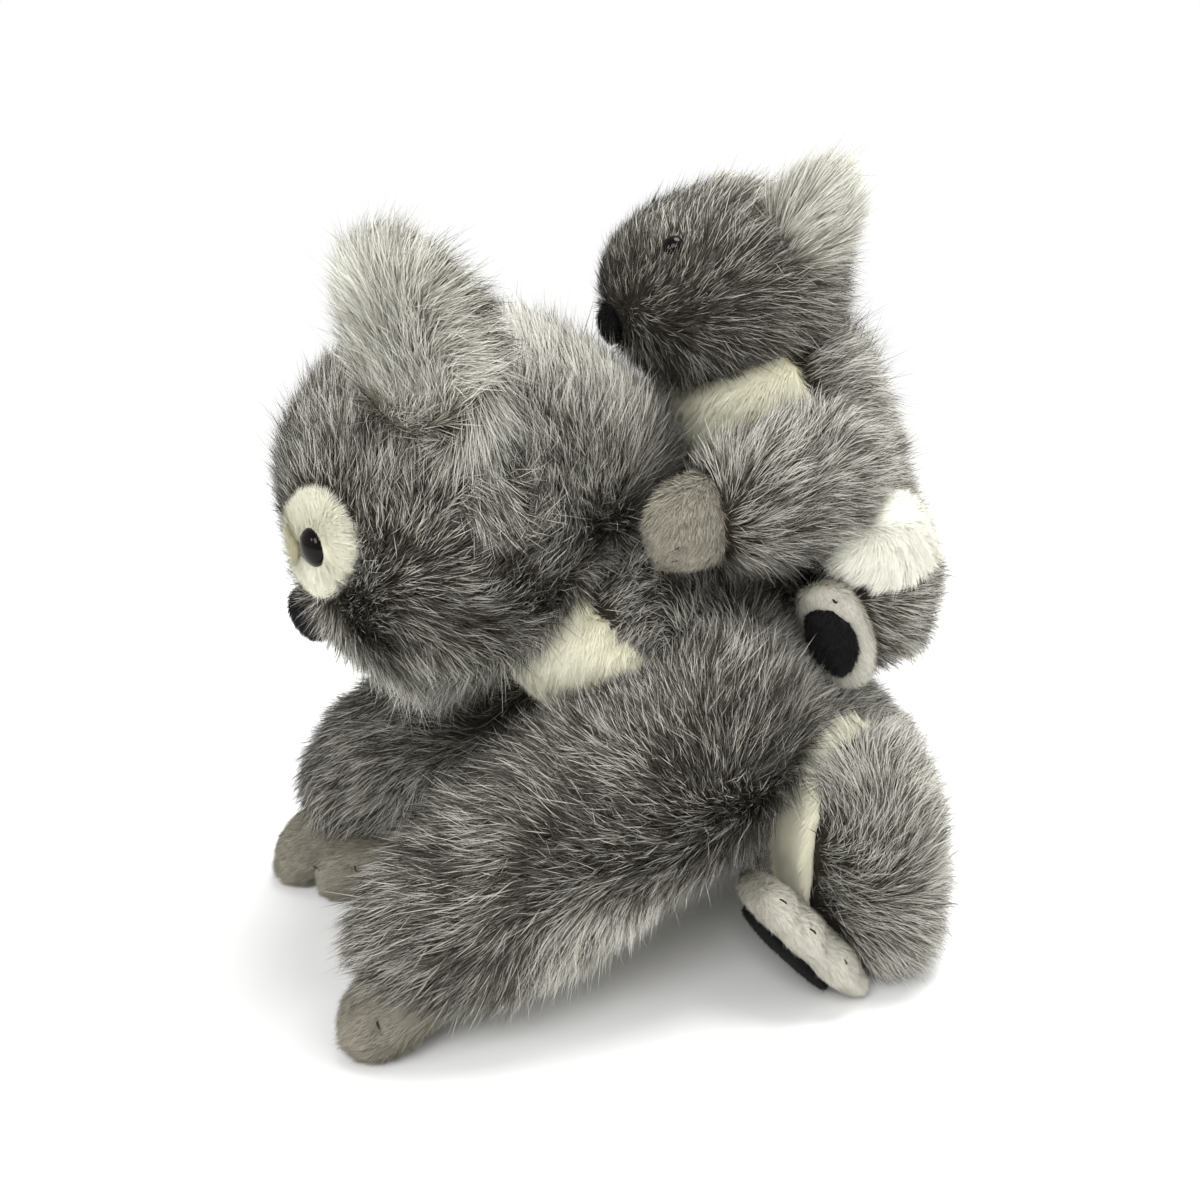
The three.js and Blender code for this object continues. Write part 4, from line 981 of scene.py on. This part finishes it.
# Comb strokes, each with its place in millimetres (3 numbers), its way (3), its share of silver
# hairs and its share of length. Those of the limbs are for the left side, and the right side
# mirrors them. Heads and torsos do the same.
combs = {
    "mother_head": [
        (0, -107, 152, 0, -0.1, 1, 0.34, 0.5), (0, -104, 174, 0, -0.1, 1, 0.39, 0.8),
        (9, -104, 173, -0.2, 0.1, 0.95, 0.48, 0.8), (21, -94, 186, -0.2, 0.34, 0.95, 0.49, 0.85),
        (0, -84, 200, 0, 0.2, 1, 0.56, 0.9), (44, -83, 154, 0.1, 0.75, 0.65, 0.29, 0.7),
        (43, -82, 170, -0.08, 0.56, 0.81, 0.34, 0.8), (49, -70, 159, 0.08, 0.7, 0.6, 0.19, 0.7),
        (51, -57, 153, -0.1, 0.3, 0.9, 0.12, 0.62), (38, -88, 141, 0.19, 0.89, 0.38, 0.19, 0.72),
        (44, -70, 134, 0.3, 0.9, 0.1, 0.13, 0.72), (40, -76, 122, 0.37, 0.18, -0.85, 0.27, 0.8),
        (29, -51, 118, 0.3, -0.1, -0.95, 0.48, 1.2), (14, -76, 107, 0.2, -0.2, -0.95, 0.65, 1.25),
        (0, -96, 112, 0, -0.4, -0.9, 0.46, 0.8), (49, -38, 162, -0.45, -0.48, 0.76, 0.23, 0.75),
        (46, -38, 180, -0.45, -0.48, 0.76, 0.31, 0.85), (33, -33, 193, -0.42, -0.33, 0.85, 0.63, 1),
        (14, -30, 207, -0.4, -0.17, 0.95, 0.92, 1.1), (0, -52, 210, 0, -0.4, 0.9, 0.88, 1),
        (18, -9, 189, -0.39, -0.2, 0.95, 0.84, 1.2), (25, 0, 165, -0.2, -0.1, 0.95, 0.43, 1),
        (40, -20, 140, -0.46, -0.6, 0.3, 0.25, 0.8), (0, 8, 180, 0, -0.1, 1, 0.56, 1),
        (0, 5, 150, 0, 0.2, 0.95, 0.46, 0.9), (0, -40, 106, 0, 0.3, -0.9, 0.34, 0.8),
        (41, -75, 186, -0.13, 0.49, 0.86, 0.86, 0.9), (45, -70, 179, -0.13, 0.49, 0.86, 0.55, 0.8),
        (33, -83, 183, -0.2, 0.3, 0.9, 0.14, 0.6), (44, -60, 185, 0.35, 0.05, -0.93, 0.84, 1.1),
        (49, -61, 176, 0.35, 0.05, -0.93, 0.5, 1.1), (50, -60, 170, 0.3, 0.2, -0.6, 0.16, 0.8),
        (47, -50, 176, -0.3, -0.1, 0.9, 0.18, 0.8), (44, -47, 187, -0.3, -0.1, 0.9, 0.28, 0.9),
    ],
    "mother_torso": [
        (36, -22, 132, 0.1, 0.5, 0.4, 0.42, 0.45), (43, -12, 121, 0, -0.64, -0.5, 0.47, 0.7),
        (40, 9, 124, 0.1, -0.3, 0.3, 0.35, 0.8), (40, 30, 108, 0.06, 0.6, 0.4, 0.45, 1),
        (44, 36, 95, 0.06, 0.72, 0.57, 0.47, 1), (47, 43, 74, 0.06, 0.72, 0.57, 0.47, 1),
        (30, 95, 60, 0.1, 0.7, 0.3, 0.54, 1), (0, 108, 55, 0, 0.8, -0.4, 0.54, 1),
        (0, 60, 120, 0, 0.8, -0.3, 0.54, 0.8), (0, 100, 15, 0, 0.5, -0.8, 0.47, 0.8),
        (40, 70, 40, 0.2, 0.5, -0.5, 0.47, 1), (0, -20, 150, 0, 0.3, 0.6, 0.54, 0.9),
        (20, 20, 40, 0, 0.3, -0.9, 0.47, 0.7),
    ],
    "joey_torso": [
        (19, 51, 201, 0.1, 0.8, 0.65, 0.41, 1.5), (22, 82, 168, 0.2, 0.95, 0.05, 0.49, 1),
        (0, 70, 200, 0, 0.75, 0.7, 0.49, 1.6), (0, 95, 160, 0, 0.95, 0.2, 0.55, 1),
        (0, 104, 125, 0, 0.95, -0.1, 0.55, 1), (0, 98, 100, 0, 0.8, -0.5, 0.47, 1),
        (28, 60, 175, 0.2, 0.95, 0, 0.36, 1), (30, 60, 140, 0.2, 0.9, -0.2, 0.4, 1),
        (25, 40, 150, 0.2, 0.6, -0.5, 0.4, 0.9),
    ],
    "joey_head": [
        (1, -8, 216, 0, -0.3, 0.9, 0.18, 0.5), (4, -4, 200, 0, -0.2, -0.95, 0.18, 1.1),
        (10, -5, 221, -0.25, 0.1, 0.95, 0.16, 0.55), (0, 5, 236, 0, 0.3, 0.95, 0.27, 0.85),
        (8, 1, 235, -0.27, 0.2, 0.95, 0.26, 0.8), (4, 22, 246, -0.08, 0.56, 0.81, 0.28, 1),
        (0, 45, 247, 0, 0.8, 0.5, 0.29, 1), (22, 8, 229, -0.1, 0.4, 0.85, 0.13, 0.55),
        (26, 10, 222, -0.05, 0.5, 0.8, 0.17, 0.75), (26, 19, 232, -0.08, 0.56, 0.81, 0.22, 0.9),
        (17, 1, 209, 0.45, 0.75, -0.4, 0.1, 0.6), (27, 13, 213, 0.2, 0.9, 0.1, 0.12, 0.75),
        (31, 24, 218, 0.15, 0.9, 0.2, 0.17, 0.9), (30, 40, 212, 0.2, 0.95, -0.1, 0.24, 1.2),
        (25, 15, 200, 0.35, 0.2, -0.85, 0.14, 1.1), (20, 35, 197, 0.3, 0.5, -0.75, 0.22, 1),
        (10, 8, 197, 0.2, 0, -0.95, 0.15, 1.2), (0, 64, 225, 0, 0.95, -0.1, 0.32, 1.4),
        (0, 60, 205, 0, 0.9, -0.3, 0.28, 1.6), (26, 29, 238, 0.15, 0.85, 0.5, 0.4, 1.2),
        (31, 30, 228, 0.2, 0.85, 0.4, 0.32, 1.1), (9, -5, 208, 0.9, 0.35, -0.1, 0.08, 0.45),
        (20, 5, 217, 0.3, 0.7, 0.5, 0.12, 0.6),
    ],
    "mother_arm": [
        (56, -17, 107, -0.39, -0.18, 0.9, 0.27, 0.55), (64, -1, 108, -0.3, 0.1, 0.95, 0.24, 1),
        (57, 22, 115, -0.27, 0.2, 0.95, 0.27, 1), (67, -27, 88, -0.45, -0.6, 0.6, 0.16, 1),
        (72, -4, 86, -0.35, -0.4, 0.8, 0.16, 1), (69, 17, 88, -0.2, 0.1, 0.9, 0.17, 1.25),
        (70, -46, 67, -0.44, -0.74, 0.47, 0.14, 0.95), (72, -23, 64, -0.38, -0.85, 0.25, 0.11, 0.9),
        (71, -3, 66, -0.36, -0.85, 0.25, 0.14, 0.95), (66, -69, 57, -0.33, -0.95, 0, 0.17, 0.95),
        (59, -92, 44, -0.25, -0.97, -0.28, 0.27, 0.9), (67, -58, 35, 0.05, -0.65, -0.75, 0.11, 1),
        (64, -76, 30, 0, -0.8, -0.55, 0.16, 0.9), (60, -30, 38, 0.1, -0.45, -0.85, 0.54, 0.8),
        (62, 0, 45, 0.05, -0.6, -0.75, 0.54, 0.8), (40, -60, 18, 0.1, -0.3, -0.95, 0.68, 0.8),
        (66, 11, 64, -0.3, -0.9, 0.1, 0.2, 0.9), (50, 30, 75, 0.1, -0.4, -0.7, 0.23, 1),
        # These two strokes on the inside of the arm have few silver hairs: painted shade on the
        # inner face, where the far arm lies in the head's shade.
        (35, -50, 75, -0.4, -0.6, 0.6, 0.14, 1), (25, -30, 60, -0.6, -0.4, -0.4, 0.07, 0.9),
        (67, -33, 41, 0.08, -0.5, -0.85, 0.78, 0.7), (66, -17, 45, 0.08, -0.5, -0.85, 0.78, 0.7),
        (60, -42, 30, 0.1, -0.4, -0.9, 0.95, 0.9), (56, -25, 33, 0.1, -0.4, -0.9, 0.95, 0.9),
    ],
    "mother_leg": [
        (66, 47, 68, -0.35, -0.5, 0.8, 0.54, 1.1), (62, 70, 76, 0.06, 0.7, 0.6, 0.64, 1),
        (77, 55, 51, -0.3, 0.1, 0.95, 0.54, 1), (77, 66, 49, 0.1, 0.8, 0.5, 0.57, 1),
        (68, 44, 42, 0.3, 0.3, 0.2, 0.39, 1), (72, 60, 30, 0.3, 0.7, -0.5, 0.46, 0.9),
        (60, 82, 40, 0.2, 0.95, 0.1, 0.64, 1), (60, 75, 12, 0.3, 0.6, -0.7, 0.56, 0.9),
        (40, 60, 50, -0.1, 0.3, -0.8, 0.56, 0.9), (55, 38, 60, -0.3, -0.3, 0.8, 0.59, 0.9),
    ],
    "joey_arm": [
        (46, 5, 170, -0.35, -0.2, 0.9, 0.49, 1.5), (46, 18, 176, -0.3, 0.1, 0.95, 0.51, 1.4),
        (43, 32, 181, -0.1, 0.45, 0.9, 0.54, 1.2), (56, 20, 158, 0.06, 0.78, 0.55, 0.39, 1),
        (53, 34, 171, 0.06, 0.78, 0.6, 0.47, 1), (53, 48, 161, 0.1, 0.95, 0.2, 0.47, 1),
        (50, 22, 147, 0.4, 0.8, -0.35, 0.47, 1), (45, 50, 150, 0.3, 0.9, -0.4, 0.49, 1),
        (40, 65, 165, 0, 0.95, 0.3, 0.5, 1), (30, 25, 165, -0.5, 0.5, 0.5, 0.46, 0.9),
    ],
    "joey_leg": [
        (45, 55, 142, 0.2, 0.4, 0.7, 0.54, 0.6), (40, 86, 130, 0.1, 0.95, 0.1, 0.5, 1),
        (40, 78, 106, 0.2, 0.7, -0.65, 0.42, 1), (50, 65, 118, 0.3, 0.85, -0.1, 0.39, 0.95),
    ],
    "mother_ear": [
        (40, -88, 229, -0.38, -0.22, 0.88, 0.97, 1.5), (36, -89, 220, -0.42, -0.3, 0.86, 0.9, 1.3),
        (52, -78, 230, -0.09, 0.56, 0.82, 0.6, 1.1), (58, -70, 222, 0.15, 0.87, 0.47, 0.22, 0.9),
        (60, -63, 214, 0.3, 0.94, 0.05, 0.14, 0.9), (60, -62, 205, 0.4, 0.6, -0.6, 0.4, 1),
        (56, -62, 200, 0.27, -0.19, -0.95, 0.95, 1.7),
        (52, -64, 192, 0.27, -0.19, -0.95, 0.98, 2.1), (46, -71, 186, -0.09, 0.56, 0.82, 0.22, 0.5),
        (35, -78, 202, -0.13, 0.35, 0.92, 0.16, 0.5), (45, -62, 225, 0, 0.8, 0.5, 0.4, 1),
        (48, -56, 205, 0.1, 0.9, -0.3, 0.26, 0.9),
    ],
    "mother_ear_lining": [
        (36, -90, 222, -0.4, -0.27, 0.87, 0.92, 1.2), (43, -87, 229, -0.31, 0.08, 0.95, 0.95, 1.3),
        (54, -82, 224, -0.09, 0.56, 0.82, 0.66, 1), (40, -88, 214, -0.24, 0.28, 0.92, 0.62, 0.95),
        (47, -84, 213, -0.16, 0.45, 0.88, 0.58, 1), (60, -73, 217, 0.15, 0.87, 0.47, 0.46, 0.95),
        (45, -82, 203, -0.15, 0.47, 0.87, 0.56, 0.95), (56, -68, 205, 0.22, 0.92, 0.32, 0.76, 1),
        (49, -75, 195, -0.09, 0.56, 0.82, 0.46, 1), (47, -72, 189, -0.1, 0.54, 0.83, 0.4, 0.9),
    ],
    "joey_ear": [
        (28, 34, 228, 0.2, 0.85, 0.45, 0.34, 1.2), (33, 38, 240, 0.1, 0.85, 0.55, 0.58, 1.1),
        (34, 52, 250, 0, 0.45, 0.9, 0.88, 1.15), (38, 52, 235, 0.1, 0.65, 0.75, 0.66, 0.65),
        (30, 40, 249, 0, 0.7, 0.7, 0.66, 1.05), (36, 46, 228, 0.2, 0.9, 0.3, 0.4, 0.7),
        (30, 54, 240, 0, 0.65, 0.75, 0.8, 0.7),
    ],
    "joey_right_ear": [
        (-28, 34, 228, -0.2, 0.9, 0.1, 0.34, 0.8), (-34, 46, 240, -0.2, 0.95, 0, 0.6, 0.6),
        (-34, 52, 250, 0, 0.97, 0.1, 0.8, 0.5),
    ],
    "mother_eye_patch": [
        (15, -109, 155, 0.3, 0.1, 0.6, 0.6, 0.9), (31, -101, 154, 0.6, 0.8, -0.2, 0.6, 0.7),
        (21, -104, 164, 0, -0.1, 1, 0.6, 0.7), (23, -104, 146, 0, -0.1, -1, 0.6, 0.7),
        (20, -104, 168, 0, -0.1, 1, 0.7, 1.3), (24, -103, 141, 0.05, 0.1, -1, 0.7, 1.3),
        (37, -94, 155, 0.6, 0.8, 0, 0.7, 1.3), (8, -108, 155, -0.9, -0.3, 0, 0.7, 1.2),
    ],
    "mother_arm_lining": [(33, -38, 34, 0.25, -0.25, -0.93, 0.6, 1)],
    "mother_leg_lining": [
        (62, 62, 82, -0.45, -0.58, 0.66, 0.8, 1.9), (54, 50, 80, -0.45, -0.65, 0.6, 0.8, 1.6),
        (58, 42, 62, -0.1, -0.5, -0.8, 0.6, 1), (50, 38, 25, 0.1, -0.3, -0.95, 0.6, 1),
    ],
    "joey_leg_lining": [
        (42, 57, 140, -0.2, -0.9, -0.3, 0.7, 1.6), (50, 72, 145, 0.3, -0.2, -0.6, 0.7, 0.8),
        (50, 84, 146, 0.3, 0.8, -0.3, 0.7, 1), (45, 70, 155, 0, 0.3, 0.8, 0.7, 0.9),
    ],
    "cream": [(0, 0, 100, 0, -0.3, -0.95, 0.6, 1)],
    "foot": [(0, 0, 100, 0.5, 0.3, -0.6, 0.5, 1)],
    "paw": [(0, 0, 100, 0, -0.9, -0.35, 0.5, 1)],
    "joeyPaw": [(0, 0, 100, 0, -0.6, -0.8, 0.6, 1)],
}
mirror = np.array((-1, 1, 1, -1, 1, 1, 1, 1))
middleOff = 6  # millimetres: a stroke nearer to the middle isn't mirrored on heads and torsos


def coatFor(node):
    # the coat of a piece, and its comb
    owner, part = node.split("_")[0], node.split("_")[-1]
    if node.endswith("_eye_patch"):
        return "eyePatch", "mother_eye_patch"
    if node.endswith("_ear_lining"):
        return "earFront", "mother_ear_lining"
    if part in ("lining", "panel"):
        if node.endswith(("arm_lining", "leg_lining")):
            limb = node.split("_")[2]
            return ("white" if owner == "joey" else limb + "Cream"), f"{owner}_{limb}_lining"
        return "cream", "cream"
    if part == "ear":
        return ("earBack", "mother_ear") if owner == "mother" else ("joeyEar", "joey_ear")
    if part == "hand":
        return "paw", ("paw" if owner == "mother" else "joeyPaw")
    if part == "foot":
        return "foot", "foot"
    if part in ("sole", "nose"):
        return "black", "cream"
    if node == "mother_torso":
        return "motherBody", "mother_torso"
    return ("motherGrey" if owner == "mother" else "joeyGrey"), f"{owner}_{part}"


def strokesFor(node, comb):
    strokes = np.array(combs.get(node, combs[comb]), float)
    if "_right_" in node and node not in combs:
        return strokes * mirror
    if "_left_" not in node and "_right_" not in node:
        return np.concatenate([strokes, strokes[strokes[:, 0] > middleOff] * mirror])
    return strokes


hairFaces = 0
for place, node in enumerate(skins):
    coatName, comb = coatFor(node)
    coat = coats[coatName]
    hairFaces += growPile(node, coat, strokesFor(node, comb), seedStart + seedStep * place)
print("stage: pile grown,", hairFaces, "triangles")


# Stitches: a thread sunk in each fold of the hands and feet

def addThread(node, path, place):
    tree = shapes[node].tree
    shares = np.linspace(0, len(path) - 1, stitchLook["steps"])
    dots = np.stack([np.interp(shares, np.arange(len(path)), path[:, axis])
                     for axis in range(3)], 1)
    laid = []
    for step, dot in enumerate(dots):
        hit, normal, _, _ = tree.find_nearest(Vector(dot))
        atEnd = step in (0, len(dots) - 1)
        laid.append(hit + normal * stitchLook["sunkEnd" if atEnd else "lift"])
    shape = bmesh.new()
    rings = []
    for step, spot in enumerate(laid):
        way = laid[min(step + 1, len(laid) - 1)] - laid[max(step - 1, 0)]
        made = bmesh.ops.create_circle(shape, segments=stitchLook["sides"],
                                       radius=stitchLook["thread"], cap_ends=False)["verts"]
        turnAndPlace(shape, made, way, spot)
        rings.append(list({edge for vert in made for edge in vert.link_edges}))
    for first, second in zip(rings[:-1], rings[1:]):
        bmesh.ops.bridge_loops(shape, edges=first + second)
    fillHoles(shape)
    bmesh.ops.recalc_face_normals(shape, faces=shape.faces)
    name = f"{node}_stitch_{place + 1}"
    carry(addPiece(name, meshOf(shape, name, threadCotton)), node)


for node in skins:
    for place, (path,) in enumerate(marksOf(stitches, node)):
        addThread(node, path, place)
print("stage: folds stitched")


# Eyes: polished domes in place of the CAD's faceted ones

def addEye(node):
    centre, axis, radius = eyeSeats[node]
    shape = bmesh.new()
    bmesh.ops.create_uvsphere(shape, u_segments=eyeLook["segments"],
                              v_segments=eyeLook["rings"], radius=radius)
    bmesh.ops.bisect_plane(shape, geom=shape.verts[:] + shape.edges[:] + shape.faces[:],
                           plane_co=(0, 0, eyeLook["rim"] * radius), plane_no=(0, 0, -1),
                           clear_outer=True)
    fillHoles(shape)
    bmesh.ops.scale(shape, vec=(1, 1, eyeLook["bulge"]), verts=shape.verts)
    layer = shape.verts.layers.float.new("ring")
    for vert in shape.verts:
        vert[layer] = min(1, math.hypot(vert.co.x, vert.co.y) / radius)
    turnAndPlace(shape, shape.verts, axis, centre)
    data = meshOf(shape, node + "_dome", eyePlastic)
    data.polygons.foreach_set("use_smooth", [True] * len(data.polygons))
    piece = addPiece(node + "_dome", data)
    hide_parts(node)
    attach(piece, bodyOf[node])


for node, slot in frame["slots"].items():
    if slot == "eye":
        addEye(node)
    elif slot == "lock_washer":
        washer = frame["nodes"][node].data
        washer.materials.clear()
        washer.materials.append(washerPlastic)
print("stage: eyes made")

for node, piece in skins.items():
    carry(piece, node)
